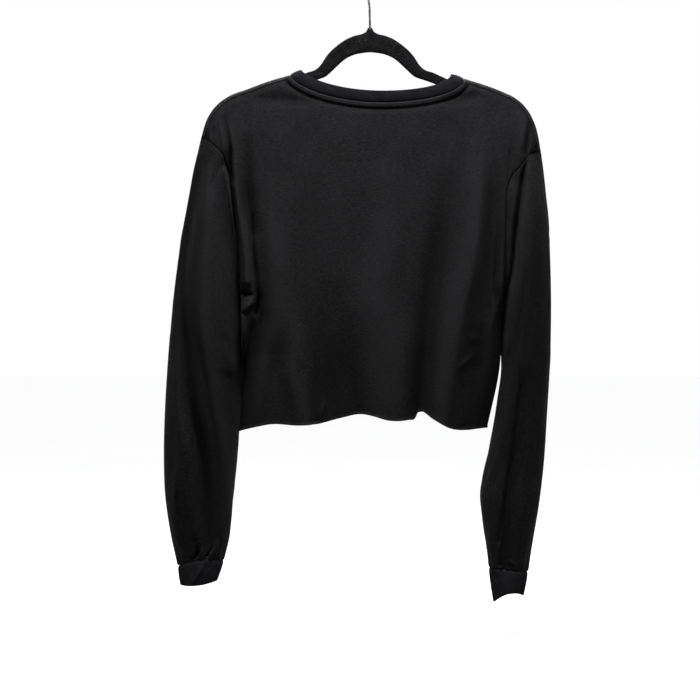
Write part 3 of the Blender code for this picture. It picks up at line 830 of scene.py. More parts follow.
# ---------------------------------------------------------------- the top
@dataclass
class Body:
    """Back and front panel of the top, and the lines that its other pieces are sewn to."""

    wall: float = 0.9
    seam_gap: float = 0.05
    neck: NeckLoop = NeckLoop(9.75, 124.75, 147.8, 152.7, 38.2, 97.0)
    neck_dip: tuple[float, float] = (1.3, 1.0)      # how full its left and right half are
    shoulder_hug: float = 5.2
    shoulder_round: float = 4.0
    shoulder_fade: float = 11.0
    fold_fade: float = 14.0
    even_from: float = 0.2
    even_to: float = 0.9
    shoulder_columns: int = 44
    neck_columns: int = 92
    neck_even: float = 0.25         # how evenly the neck's columns lie
    roll_columns: int = 11
    rows: tuple[int, int, int, int] = (35, 85, 83, 8)   # under the shoulder, to the armpit, to the hem, hem
    shoulder_level: float = 0.21
    hem_level: float = 0.95
    top_crowding: float = 1.6
    strip_wide: float = 7.4         # the taped strip beside the neck seam
    strip_rise: float = 1.2
    strip_lean: float = 0.85        # how near the seam the strip's crest is
    ditch_reach: float = 9.0
    ditch_deep: float = 2.6
    shoulder_strip_wide: float = 6.4
    shoulder_strip_rise: float = 0.6
    shoulder_ditch_deep: float = 1.3
    strip_edge: float = 2.0         # how far the strip's lower edge is spread
    hem_curl: float = 1.2
    hem_curl_reach: float = 4.5
    hem_curl_ends: float = 12.0     # where it fades beside the side seams
    hem_wave: float = 0.6
    hem_wave_lengths: tuple[float, float] = (17.0, 7.3)
    armhole_end: float = 0.97
    seam_deep: float = 1.3
    seam_reach: float = 1.5
    shoulder: tuple[Outline, ...] = (
        Outline(-241.0, 235.5), Outline(-234.5, 214.5), Outline(-226.0, 198.8),
        Outline(-217.4, 188.8), Outline(-205.0, 179.6), Outline(-174.5, 167.3),
        Outline(-140.1, 154.8), Outline(-115.0, 147.8), Outline(134.5, 152.7),
        Outline(150.2, 157.3), Outline(193.0, 173.0), Outline(207.4, 180.2),
        Outline(221.7, 193.0), Outline(229.6, 205.0), Outline(237.5, 225.0),
        Outline(243.8, 253.7),
    )
    left_side: tuple[Side, ...] = (
        Side(0.00, -241.0, 235.5, 0.03, 12.0), Side(0.05, -233.5, 238.5, 12.0, 12.0),
        Side(0.11, -225.0, 247.0, 21.0, 8.0), Side(0.16, -215.5, 256.0, 24.0, 7.0),
        Side(0.21, -208.0, 265.0, 23.0, 5.0), Side(0.26, -205.0, 276.0, 10.0, 4.0),
        Side(0.33, -201.0, 293.0, 4.0, 4.0), Side(0.47, -195.5, 330.0, 2.0, 5.0),
        Side(0.74, -188.0, 400.0, 1.5, 5.0), Side(1.00, -184.5, 470.0, 0.03, 4.0),
        Side(1.20, -184.0, 505.0, 0.03, 4.5), Side(1.32, -183.8, 527.5, 0.03, 6.0),
        Side(1.50, -183.5, 561.0, 0.03, 14.0), Side(1.85, -185.5, 627.5, 0.03, 24.0),
        Side(2.00, -187.0, 656.5, 0.03, 26.0),
    )
    right_side: tuple[Side, ...] = (
        Side(0.00, 243.8, 253.7, 0.03, 12.0), Side(0.05, 235.0, 257.5, 12.0, 12.0),
        Side(0.10, 225.5, 263.5, 20.0, 11.0), Side(0.15, 218.0, 274.0, 25.0, 10.0),
        Side(0.20, 209.0, 285.0, 27.0, 9.0), Side(0.25, 201.0, 294.0, 26.5, 8.0),
        Side(0.31, 196.0, 306.0, 28.0, 6.0), Side(0.50, 192.5, 350.0, 29.0, 6.0),
        Side(0.75, 191.5, 412.0, 28.0, 6.0), Side(0.88, 190.3, 444.0, 25.0, 5.0),
        Side(0.95, 189.6, 461.0, 17.0, 5.0), Side(1.00, 189.0, 474.8, 0.03, 8.0),
        Side(1.20, 188.0, 510.0, 0.03, 20.0), Side(1.50, 185.6, 563.0, 0.03, 24.0),
        Side(2.00, 167.6, 650.6, 0.03, 26.0),
    )
    back_depth: tuple[Depth, ...] = (
        Depth(140.0, 7.0, 15.0), Depth(200.0, 15.0, 20.5), Depth(250.0, 24.0, 26.0),
        Depth(300.0, 30.5, 31.5), Depth(380.0, 36.0, 39.0), Depth(465.0, 40.0, 47.0),
        Depth(560.0, 42.0, 55.0), Depth(660.0, 43.0, 61.5),
    )
    front_depth: tuple[Depth, ...] = (
        Depth(140.0, 6.0, 28.0), Depth(200.0, 14.0, 31.0), Depth(250.0, 25.0, 34.0),
        Depth(300.0, 32.0, 38.0), Depth(380.0, 36.0, 45.0), Depth(465.0, 37.0, 50.0),
        Depth(560.0, 37.0, 53.0), Depth(660.0, 34.0, 55.0),
    )
    back_hem: tuple[Outline, ...] = (
        Outline(-187.0, 656.5), Outline(-168.7, 650.7), Outline(-140.0, 645.0),
        Outline(-100.0, 646.4), Outline(-77.0, 645.0), Outline(-43.0, 636.4),
        Outline(-11.0, 630.6), Outline(3.0, 633.0), Outline(25.0, 639.2), Outline(54.0, 638.6),
        Outline(62.0, 637.0), Outline(66.5, 628.5), Outline(73.0, 627.0), Outline(88.5, 637.8),
        Outline(108.5, 649.2), Outline(167.5, 650.7),
    )
    front_hem: tuple[Outline, ...] = (
        Outline(-187.0, 655.5), Outline(-150.0, 643.0), Outline(-112.0, 636.0),
        Outline(-70.0, 640.0), Outline(-30.0, 629.0), Outline(10.0, 624.0),
        Outline(52.0, 633.0), Outline(92.0, 629.0), Outline(130.0, 643.0),
        Outline(167.5, 649.5),
    )
    back_creases: tuple[Crease, ...] = (
        # broad folds, from left to right
        Crease(((-138, 290), (-138, 383), (-135, 450), (-140, 512), (-142, 545)), (0, 7, 9, 6, 0), 14, 22),
        Crease(((-122, 445), (-133, 519), (-150, 559), (-164, 628), (-168, 652)), (0, 4, 6, 6, 5), 14, 14),
        Crease(((-117, 475), (-108, 533), (-110, 575), (-101, 622), (-96, 655)), (0, 4, 6, 6, 5), 12, 13),
        Crease(((-62, 440), (-62, 500), (-60, 560), (-58, 655)), (0, -3, -8, -10), 22, 30),
        Crease(((-80, 540), (-79, 580), (-79, 640)), (0, -3, -5), 5, 6),
        Crease(((-43, 470), (-33, 540), (-24, 600), (-18, 655)), (0, -3, -7, -8), 16, 16),
        Crease(((36, 270), (24, 383), (12, 465), (22, 546), (28, 655)), (0, 6, 8, 9, 9), 28, 24),
        Crease(((114, 280), (98, 372), (92, 432), (84, 500), (78, 580), (70, 655)),
               (0, -7, -11, -13, -16, -17), 18, 11),
        Crease(((75, 535), (73, 565), (71, 600), (67, 640)), (0, -4, -8, -9), 9, 5),
        Crease(((155, 262), (153, 356), (145, 416), (131, 480), (119, 546), (102, 655)),
               (2, 11, 14, 14, 12, 11), 20, 12),
        Crease(((177, 270), (171, 350), (169, 437), (160, 520), (150, 600)), (0, -6, -7, -4, 0), 12, 12),
        Crease(((150, 500), (152, 570), (148, 655)), (0, -7, -9), 20, 20),
        # small pinches and pulls
        Crease(((124, 568), (134, 557), (146, 547)), (0.5, 2, 0.5), 4, 4),
        Crease(((140, 575), (150, 566), (160, 560)), (0, -1, 0), 6, 6),
        Crease(((128, 517), (146, 524), (164, 529)), (0, 0.7, 0), 4.5, 4.5),
        Crease(((132, 506), (146, 512), (159, 511)), (0, -0.4, 0), 4.5, 4.5),
        Crease(((134, 541), (142, 536), (156, 535)), (0, -0.5, 0), 4.5, 4.5),
        Crease(((-43, 273), (-10, 274.5), (22, 272)), (0, -0.5, 0), 1.6, 1.6),
        Crease(((-63, 610), (-66, 622), (-70, 635)), (0, 3, 1), 3, 3),
        # hollows under the shoulder strips, with a ridge below each
        Crease(((-172, 181), (-157, 183), (-129, 184), (-100, 186), (-72, 189)), (0, -2, -3.2, -3, 0), 9, 8),
        Crease(((88, 186), (114, 186), (143, 180), (164, 177)), (0, -2.6, -3.2, 0), 9, 7),
        # left shoulder end: lobe, gap beside the seam, ridge strip and the valley beside it
        Crease(((-215, 203), (-210, 232), (-207, 258)), (1, 4, 3), 4, 4),
        Crease(((-224, 220), (-224, 231), (-225, 242)), (0, -4, -2), 2, 2.5),
        Crease(((-210, 205), (-206, 223), (-202, 239), (-199.5, 254), (-199, 270), (-198, 290), (-194, 308)),
               (0, -4, -6, -9, -16, -16, 0), 4.5, 4),
        Crease(((-203, 213), (-198.5, 238), (-195.5, 269), (-191, 309), (-187, 335), (-181, 370),
                (-176, 405), (-174, 446)), (0, 4, 5, 5, 5, 5, 7, 12), 5, 5),
        Crease(((-177, 232), (-176, 297), (-174, 340), (-169, 372)), (0, -8, -12, -6), 6, 10),
        Crease(((-168.5, 345), (-168.5, 379), (-166.5, 405), (-163.4, 430), (-160.9, 456), (-159.5, 475),
                (-162.3, 488)), (0, -10, -10, -9, -8, -9, -10), 3, 4),
        # right shoulder end
        Crease(((202.5, 232), (199.5, 258), (197, 285), (195.5, 305)), (0, -2.4, -1.8, -0.8), 1.6, 1.6),
        Crease(((219.5, 203), (219, 224), (212, 268)), (0, 3.5, 2), 5, 5),
        Crease(((228, 212), (225.5, 236), (222.5, 262)), (0, -7, -8), 3.5, 3),
        Crease(((209, 208), (208, 240)), (2, 0), 6, 6),
        Crease(((182.5, 360), (180.2, 393), (178.8, 420), (176.9, 447), (177.8, 466), (179.6, 482)),
               (0, -3, -5, -6, -6, -3), 2.4, 2.4),
        Crease(((186, 462), (186, 500), (184, 530), (181, 570), (176, 612), (170, 655)),
               (-3, -9, -9, -8, -8, -8), 8, 8),
        # left armpit: a dark wedge with a bright facet below it, and the dark fold that runs to the hem
        Crease(((-184, 458), (-178, 460), (-168, 463), (-162, 466)), (-13, -13, -6, 0), 2.6, 2.4),
        Crease(((-181, 486), (-174, 482), (-168, 476), (-163, 470)), (4, 7, 8, 4), 2.5, 9),
        Crease(((-162.5, 472), (-163.5, 497), (-168, 512), (-171, 526), (-174, 540), (-179, 562),
                (-183, 590), (-186, 612), (-188, 655)), (-7, -13, -16, -18, -20, -25, -30, -31, -28), 4, 15),
        Crease(((-182, 494), (-182, 510), (-183, 535)), (6, 8, 2), 4, 6),
    )
    front_creases: tuple[Crease, ...] = (
        Crease(((-140, 290), (-128, 430), (-150, 650)), (0, 7, 7), 20, 24),
        Crease(((-96, 330), (-92, 480), (-104, 650)), (0, -8, -12), 15, 17),
        Crease(((-60, 300), (-48, 460), (-66, 650)), (0, 7, 9), 24, 20),
        Crease(((-12, 340), (-6, 500), (-18, 650)), (0, -6, -11), 15, 19),
        Crease(((40, 300), (34, 470), (52, 650)), (0, 7, 9), 24, 24),
        Crease(((92, 320), (84, 470), (92, 650)), (0, -9, -13), 17, 13),
        Crease(((146, 290), (128, 440), (134, 650)), (0, 7, 8), 20, 24),
        Crease(((-212, 207), (-206, 230), (-198, 262)), (0, -9, -6), 5, 5),
        Crease(((204, 233), (200, 260), (197, 292)), (0, -8, -6), 4, 4),
        Crease(((-150, 560), (-134, 548), (-118, 541)), (0, 3, 0), 4, 6),
        Crease(((-112, 262), (-70, 276), (-20, 281)), (0, -2.4, 0), 7, 7),
        Crease(((38, 282), (88, 276), (128, 262)), (0, -2.4, 0), 7, 7),
        Crease(((-184, 430), (-168, 440), (-150, 447)), (0, -3, 0), 4, 4),
        Crease(((186, 424), (172, 440), (152, 452)), (0, -3, 0), 4, 4),
        Crease(((104, 596), (116, 584), (132, 577)), (0, 2.6, 0), 4, 4),
        Crease(((-178, 300), (-170, 360), (-166, 430)), (0, -5, -5), 5, 7),
    )
    uneven: tuple[Wander, ...] = (
        Wander(11, 26.0, 60.0, 0.9), Wander(12, 12.0, 22.0, 0.30), Wander(13, 5.0, 8.0, 0.07),
    )

    def depths(self, half: Half) -> tuple[Depth, ...]:
        """Gives the depth table of a panel."""
        return self.back_depth if half is Half.BACK else self.front_depth

    def creases(self, half: Half) -> tuple[Crease, ...]:
        """Gives the creases of a panel."""
        return self.back_creases if half is Half.BACK else self.front_creases

    def hem(self, half: Half) -> tuple[Outline, ...]:
        """Gives the hem line of a panel."""
        return self.back_hem if half is Half.BACK else self.front_hem

    def shoulder_down(self, x: Array) -> Array:
        """Gives the shoulder line, carried straight across the neck."""
        return read(self.shoulder, "x", "down", x)

    def neck_down(self, loop: NeckLoop, x: Array, half: Half) -> Array:
        """Reads a neck loop's back or front.

        Args:
            loop: The loop.
            x: Across.
            half: Back or front.

        Returns:
            Down of the loop there.
        """
        across = np.clip((x - loop.centre) / loop.half, -1.0, 1.0)
        corner = loop.left_down + (loop.right_down - loop.left_down) * (across + 1) / 2
        drop = loop.back_drop if half is Half.BACK else loop.front_drop
        dip = np.where(across > 0, self.neck_dip[1], self.neck_dip[0])
        return corner + drop * (1 - across ** 2) ** (dip / 2)

    def neck_line(self, half: Half, steps: int = 96) -> Array:
        """Gives the neck seam of a panel from left to right.

        Args:
            half: Back or front.
            steps: How many stretches it has.

        Returns:
            Rows of across and down.
        """
        x = self.neck.centre - self.neck.half * np.cos(np.linspace(0.0, math.pi, steps + 1))
        return np.stack([x, self.neck_down(self.neck, x, half)], axis=-1)

    def shoulder_line(self, arm: Arm, steps: int = 48) -> Array:
        """Gives a shoulder seam from the neck out.

        Args:
            arm: Which shoulder.
            steps: How many stretches it has.

        Returns:
            Rows of across and down.
        """
        ends = self.neck.centre + arm.value * self.neck.half, self.shoulder[0 if arm is Arm.LEFT else -1].x
        x = np.linspace(*ends, steps + 1)
        return np.stack([x, self.shoulder_down(x)], axis=-1)

    def base_depth(self, x: Array, down: Array, half: Half) -> Array:
        """Gives the depth of a panel without its folds, away from its side rolls.

        Args:
            x: Across.
            down: Down.
            half: Back or front.

        Returns:
            The distance from the middle plane.
        """
        fall = np.maximum(down - self.shoulder_down(x), 0.0)
        sides = [read(seam, "down", "x", down) for seam in (self.left_side, self.right_side)]
        middle = (sides[0] + sides[1]) / 2
        crown = np.clip(1 - ((x - middle) / (sides[1] - sides[0]) * 2) ** 2, 0.0, 1.0)
        rows = self.depths(half)
        body = read(rows, "down", "side", down)
        body = body + (read(rows, "down", "middle", down) - body) * crown
        return self.shoulder_hug + (body - self.shoulder_hug) * quarter_round(fall / self.shoulder_fade)

    def strip(self, gap: Array, wide: float, rise: float, deep: float) -> Array:
        """Gives the section of a taped strip and of the ditch below it.

        Args:
            gap: Distance from the seam.
            wide: Width of the strip.
            rise: How far the strip stands up.
            deep: How deep the ditch is.

        Returns:
            The rise of the cloth.
        """
        place = np.clip(gap / wide, 0.0, 1.0) ** self.strip_lean
        roll = rise * np.sqrt(np.clip(1 - (place * 2 - 1) ** 2, 0.0, 1.0))
        past = (gap - wide) / self.ditch_reach
        ditch = -deep * soft_step((gap - wide + 1.2) / self.strip_edge) * (1 - soft_step(past))
        return roll + ditch

    def seams(self, x: Array, down: Array, half: Half) -> Array:
        """Gives the rise of the taped strips along the neck and the shoulders.

        Args:
            x: Across.
            down: Down.
            half: Back or front.

        Returns:
            The rise of the cloth.
        """
        points = np.stack([x, down], axis=-1)
        reach = self.strip_wide + self.ditch_reach
        total = np.zeros(x.shape)
        fall = down - self.shoulder_down(x)
        close = fall < 2.2 * reach + (self.neck.front_drop if half is Half.FRONT else self.neck.back_drop)
        if not close.any():
            return total
        near = points[close]
        neck = np.abs(nearest(self.neck_line(half), near)[0])
        shoulders = [np.abs(nearest(self.shoulder_line(arm), near)[0]) for arm in Arm]
        shoulder = np.minimum(*shoulders)
        of_neck = self.strip(neck, self.strip_wide, self.strip_rise, self.ditch_deep)
        share = 1.0 if half is Half.BACK else 0.5
        of_shoulder = share * self.strip(
            shoulder, self.shoulder_strip_wide, self.shoulder_strip_rise, self.shoulder_ditch_deep)
        inside = 1 - soft_step((neck - self.strip_wide) / self.strip_edge)
        total[close] = of_neck + of_shoulder * (1 - inside)
        return total

    def depth(self, x: Array, down: Array, half: Half) -> Array:
        """Gives the depth of a panel with its folds, away from its side rolls.

        Args:
            x: Across.
            down: Down.
            half: Back or front.

        Returns:
            The distance from the middle plane.
        """
        fall = np.maximum(down - self.shoulder_down(x), 0.0)
        shift = FRONT_SEEDS if half is Half.FRONT else 0
        uneven = sum(part._replace(seed=part.seed + shift).at(x, down) for part in self.uneven)
        folds = relief(self.creases(half), x, down) + uneven
        body = self.base_depth(x, down, half) + folds * soft_step(fall / self.fold_fade)
        body = body + self.seams(x, down, half)
        gap = self.seam_gap / 2
        return gap + (body - gap) * quarter_round(fall / self.shoulder_round)

    def columns(self) -> tuple[Array, Array]:
        """Gives the turn of a panel's side rolls, and the columns between them on its top edge."""
        turn = np.linspace(0.0, 1.0, self.roll_columns + 1)[:-1]
        first, last = self.left_side[0], self.right_side[0]
        steps = np.linspace(0.0, 1.0, self.neck_columns + 1)
        eased = (1 - np.cos(steps * math.pi)) / 2
        place = eased + (steps - eased) * self.neck_even
        neck = self.neck.centre + self.neck.half * (place * 2 - 1)
        left = np.linspace(first.x + first.roll, neck[0], self.shoulder_columns + 1)[:-1]
        right = np.linspace(neck[-1], last.x - last.roll, self.shoulder_columns + 1)[1:]
        return turn, np.concatenate([left, neck, right])

    def across(self, level: float, sides: Sequence[Mapping[str, float]], turn: Array, top_x: Array) -> Array:
        """Places a row's columns. High rows keep the neck's columns, and low rows spread evenly.

        Args:
            level: The row's level.
            sides: Its left and right side section.
            turn: The turn of the side rolls.
            top_x: The columns on the top edge.

        Returns:
            Across of each column.
        """
        left, right = sides
        share = (top_x - top_x[0]) / (top_x[-1] - top_x[0])
        corners = share[self.shoulder_columns], share[-1 - self.shoulder_columns]
        even = soft_step((level - self.even_from) / (self.even_to - self.even_from))
        left_of_neck = np.clip(1 - share / corners[0], 0.0, 1.0)
        right_of_neck = np.clip((share - corners[1]) / (1 - corners[1]), 0.0, 1.0)
        follow_left = left_of_neck + even * (1 - share - left_of_neck)
        follow_right = right_of_neck + even * (share - right_of_neck)
        starts = left["x"] + left["roll"] - top_x[0], right["x"] - right["roll"] - top_x[-1]
        middle = top_x + starts[0] * follow_left + starts[1] * follow_right
        swing = 1 - np.cos(turn * math.pi / 2)
        ends = left["x"] + left["roll"] * swing, (right["x"] - right["roll"] * swing)[::-1]
        return np.concatenate([ends[0], middle, ends[1]])

    def levels(self) -> Array:
        """Gives the levels of a panel's rows, close together under the shoulder and at the hem."""
        shoulder, arm, side, hem = self.rows
        top = self.shoulder_level * np.linspace(0.0, 1.0, shoulder + 1) ** self.top_crowding
        above = np.linspace(self.shoulder_level, 1.0, arm + 1)[1:]
        below = 1 + np.linspace(0.0, self.hem_level, side + 1)[1:]
        last = 1 + np.linspace(self.hem_level, 1.0, hem + 1)[1:]
        return np.concatenate([top, above, below, last])

    def side_at(self, arm: Arm, level: float) -> dict[str, float]:
        """Reads a side section.

        Args:
            arm: Which side.
            level: The level.

        Returns:
            The section's named sizes.
        """
        rows = self.left_side if arm is Arm.LEFT else self.right_side
        sizes = {name: float(read(rows, "level", name, level)) for name in ("x", "down", "depth", "roll")}
        sizes["depth"] = max(sizes["depth"], self.seam_gap / 2)
        return sizes

    def panel(self, half: Half) -> Sheet:
        """Works out the back or the front panel, from its top edge to its hem.

        Args:
            half: Back or front.

        Returns:
            The panel's sheet.
        """
        turn, top_x = self.columns()
        share = (top_x - top_x[0]) / (top_x[-1] - top_x[0])
        whole = np.concatenate([np.zeros(len(turn)), share, np.ones(len(turn))])
        rolled = np.sin(np.concatenate([turn, np.ones(len(share)), turn[::-1]]) * math.pi / 2)
        points = [self.side_at(arm, 0.0) for arm in Arm]
        pits = [self.side_at(arm, 1.0)["down"] for arm in Arm]
        start_x = self.across(0.0, points, turn, top_x)
        inside = np.abs((start_x - self.neck.centre) / self.neck.half) < 0.9999
        start_down = np.where(inside, self.neck_down(self.neck, start_x, half), self.shoulder_down(start_x))
        pit_down = pits[0] + (pits[1] - pits[0]) * whole
        levels = self.levels()
        x, down, seam = (np.zeros((len(levels), len(whole))) for _ in range(3))
        for row, level in enumerate(levels):
            sides = [self.side_at(arm, level) for arm in Arm]
            x[row] = self.across(level, sides, turn, top_x)
            if level <= 1.0:
                falls = [(side["down"] - point["down"]) / (pit - point["down"])
                         for side, point, pit in zip(sides, points, pits)]
                down[row] = start_down + (pit_down - start_down) * (falls[0] + (falls[1] - falls[0]) * whole)
            else:
                hem = read(self.hem(half), "x", "down", x[row])
                down[row] = pit_down + (hem - pit_down) * (level - 1.0)
            seam[row] = sides[0]["depth"] + (sides[1]["depth"] - sides[0]["depth"]) * whole
        depth = seam + (self.depth(x, down, half) - seam) * rolled
        sheet = Sheet(np.stack([x, half.value * depth, -down], axis=-1), flip=half is Half.BACK)
        # painted shade in the troughs and painted light on the ridges of the creases
        sheet.painted_shade = np.clip(relief(self.creases(half), x, down) / FULL_PAINTED_SHADE, -1.0, 1.0) * rolled
        self.finish_edges(sheet, levels)
        return sheet

    def finish_edges(self, sheet: Sheet, levels: Array) -> None:
        """Draws a panel in along its armholes and curls its raw hem outwards.

        Args:
            sheet: The panel.
            levels: The levels of its rows.
        """
        from_left = lengths(sheet.points, 1, False)
        edge = np.minimum(from_left, from_left[:, -1:] - from_left)
        arms = (1 - soft_step((levels - self.armhole_end) / (1 - self.armhole_end)))[:, None]
        down = lengths(sheet.points, 0, False)
        to_hem = down[-1:] - down
        curl = self.hem_curl * (1 - soft_step(to_hem / self.hem_curl_reach))
        curl = curl * soft_step(edge / self.hem_curl_ends)
        long, short = (sheet.points[..., 0] / length for length in self.hem_wave_lengths)
        wave = 1 + self.hem_wave * np.sin(long) * np.sin(short + 1.0)
        sheet.points = sheet.points + sheet.outward() * (curl * wave)[..., None]
        sheet.points[..., 1] *= 1 - self.drawn_in(sheet.points[..., 1], edge) * arms

    def drawn_in(self, depth: Array, edge: Array) -> Array:
        """Tells how far cloth is drawn towards the middle plane beside an armhole seam.

        Args:
            depth: Its distance from the middle plane, of either sign.
            edge: Its distance from the seam.

        Returns:
            The share of its depth that is taken off.
        """
        deep = np.minimum(self.seam_deep, 0.5 * np.abs(depth))
        return deep / np.maximum(np.abs(depth), 1e-6) * np.exp(-edge / self.seam_reach)


@dataclass
class Sleeve:
    """One long sleeve, from the body's armhole to its cuff."""

    body: Body
    arm: Arm
    sections: tuple[Section, ...]
    back_creases: tuple[Crease, ...]
    front_creases: tuple[Crease, ...]
    seam_lift: float                # how far the back of the cuff's seam is drawn up
    nest_x: float = 3.5             # how far the inner side reaches behind the body's edge
    nest_y: float = 18.0
    nest_end: float = 0.62          # the share down the sleeve where it stops
    flat_inside: float = 0.4        # how flat the inner half of its oval is: 1 for an ellipse
    flat_below: float = 1.0         # the same below its elbow
    flat_outside: float = 1.15
    wall: float = 0.9
    settle: float = 0.12            # the share in which it leaves the armhole's line
    steep: float = 0.012            # the same for how far it stands out beside the armhole
    elbow: tuple[float, float] = (0.35, 0.12)           # where it starts and the share it takes
    nest_start: float = 0.14
    nest_sharp: int = 14
    lift_start: float = 0.85
    crowded: tuple[float, float] = (0.12, 0.93)         # the shares past which its rows lie close
    crowded_rows: tuple[int, int] = (49, 37)
    top_crowding: float = 1.3
    fold_fade: float = 9.0
    columns: int = 200
    rows: int = 208
    seam_deep: float = 0.5
    seam_reach: float = 2.0
    gathers: int = 17
    gather_deep: float = 0.8
    gather_reach: float = 16.0
    uneven: tuple[Wander, ...] = (
        Wander(21, 22.0, 70.0, 1.0), Wander(22, 12.0, 24.0, 0.35), Wander(23, 5.0, 8.0, 0.08),
    )
    uneven_offset: float = 900.0    # what keeps the two sleeves unlike
    uneven_blend: float = 12.0

    def turns(self) -> Array:
        """Gives the angle of each column: 0 outside, a half turn at the armpit."""
        return np.arange(self.columns) / self.columns * 2 * math.pi

    def armhole(self) -> Array:
        """Gives the seam points of the armhole, down the back and up the front."""
        table = self.body.left_side if self.arm is Arm.LEFT else self.body.right_side
        marks = np.array((0.0, 0.02, 0.05, 0.105, 0.16, 0.215, 0.29, 0.39, 0.51, 0.66, 0.83, 1.0))
        even = np.linspace(0.0, 1.0, len(marks))
        turns = self.turns()
        half_turn = np.where(turns > math.pi, 2 * math.pi - turns, turns) / math.pi
        level = np.interp(half_turn, (marks + even) / 2, marks)
        depth = np.maximum(read(table, "level", "depth", level), self.body.seam_gap / 2)
        depth = np.where(np.isin(half_turn, (0.0, 1.0)), 0.0, depth)
        side = np.where(turns > math.pi, 1.0, -1.0)
        return np.stack([read(table, "level", "x", level), side * depth,
                         -read(table, "level", "down", level)], axis=-1)

    def oval(self, share: float) -> Array:
        """Gives one ring of the sleeve away from its armhole.

        Args:
            share: The share of the way to the cuff.

        Returns:
            The ring's points.
        """
        size = {name: float(read(self.sections, "share", name, share)) for name in Section._fields[1:]}
        turns = self.turns()
        across = (1 - np.cos(turns)) / 2
        bent = soft_step((share - self.elbow[0]) / self.elbow[1])
        inside = self.flat_inside + (self.flat_below - self.flat_inside) * bent
        flat = np.where(across > 0.5, inside, self.flat_outside)
        bulge = np.sign(np.sin(turns)) * np.abs(np.sin(turns)) ** flat
        ring = np.stack([size["out_x"] + (size["in_x"] - size["out_x"]) * across,
                         size["lean"] - size["depth"] * bulge,
                         -(size["out_down"] + (size["in_down"] - size["out_down"]) * across)], axis=-1)
        nested = soft_step(share / self.nest_start) * (1 - soft_step((share / self.nest_end - 0.65) / 0.35))
        nested = nested * across ** self.nest_sharp
        ring[:, 0] -= self.arm.value * self.nest_x * nested
        ring[:, 1] += self.nest_y * nested
        lift = self.seam_lift * soft_step((share - self.lift_start) / (1 - self.lift_start))
        ring[:, 2] += lift * np.clip(np.sin(turns), 0.0, 1.0) ** 2
        return ring

    def sheet(self) -> Sheet:
        """Works out the sleeve, with its folds, its seams and the gathers at its cuff."""
        turns = self.turns()
        (high, low), (above, below) = self.crowded, self.crowded_rows
        shares = np.concatenate([high * np.linspace(0, 1, above + 1) ** self.top_crowding,
                                 np.linspace(high, low, self.rows - above - below)[1:],
                                 np.linspace(low, 1.0, below + 1)[1:]])
        loop = self.armhole()
        away = np.array([0.8 * self.arm.value, 0.0, -0.6]) * self.body.seam_gap
        rings, painted_shade = [], []
        half_turn = 1 - np.abs(1 - turns / math.pi)
        settle = np.full(loop.shape, self.settle)
        settle[:, 1] += (self.steep - self.settle) * soft_step((half_turn - 0.30) / 0.10)
        for share in shares:
            settled = 1 - (1 - np.minimum(share / settle, 1.0)) ** 2
            ring = loop + away + (self.oval(share) - loop - away) * settled
            rise, side = self.folds(ring, turns)
            fade = soft_step(np.linalg.norm(ring - loop, axis=-1) / self.fold_fade)
            ring[:, 1] += side * rise * fade
            rings.append(ring)
            painted_shade.append(rise * fade)
        made = Sheet(np.array(rings), closed=(False, True), flip=self.arm is Arm.LEFT)
        # painted shade in the creases' troughs and painted light on their ridges
        made.painted_shade = np.clip(np.array(painted_shade) / FULL_PAINTED_SHADE, -1.0, 1.0)
        self.finish_edges(made, turns)
        return made

    def folds(self, ring: Array, turns: Array) -> tuple[Array, Array]:
        """Reads the creases of the sleeve's back and front.

        Args:
            ring: Points of the sleeve.
            turns: The angle of each of them.

        Returns:
            How far the cloth is lifted at each point, and the side of Y that it is lifted to.
        """
        rise = np.zeros(len(turns))
        for half, creases in ((Half.BACK, self.back_creases), (Half.FRONT, self.front_creases)):
            faces = np.clip(-half.value * np.sin(turns), 0.0, 1.0) ** 0.7
            rise += faces * relief(creases, ring[:, 0], -ring[:, 2])
        return rise, np.where(turns > math.pi, 1.0, -1.0)

    def finish_edges(self, sheet: Sheet, turns: Array) -> None:
        """Draws the sleeve in at its two seams, gathers its lower end and makes it uneven.

        Args:
            sheet: The sleeve.
            turns: The angle of each column.
        """
        down = lengths(sheet.points, 0, False)
        to_cuff = down[-1:] - down
        seam = np.exp(-to_cuff / self.seam_reach)
        phase = turns * self.gathers + 1.7 * np.sin(turns * 3) + 0.8 * np.sin(turns * 5 + 1)
        reach = self.gather_reach * (1 + 0.5 * np.sin(turns * 7 + 2))
        gathers = self.gather_deep * np.sin(phase) * np.exp(-to_cuff / reach)
        fade = soft_step(down / 10.0) * soft_step(to_cuff / 6.0)
        around = lengths(sheet.points, 1, True)[:, :-1]
        offset = self.uneven_offset * self.arm.value
        uneven = sum(wander.at(around + offset, down) for wander in self.uneven)
        blend = soft_step(around / self.uneven_blend)
        rise = gathers + uneven * fade * blend - self.seam_deep * seam
        sheet.points = sheet.points + sheet.outward() * rise[..., None]
        sheet.points[..., 1] *= 1 - self.body.drawn_in(sheet.points[..., 1], down)


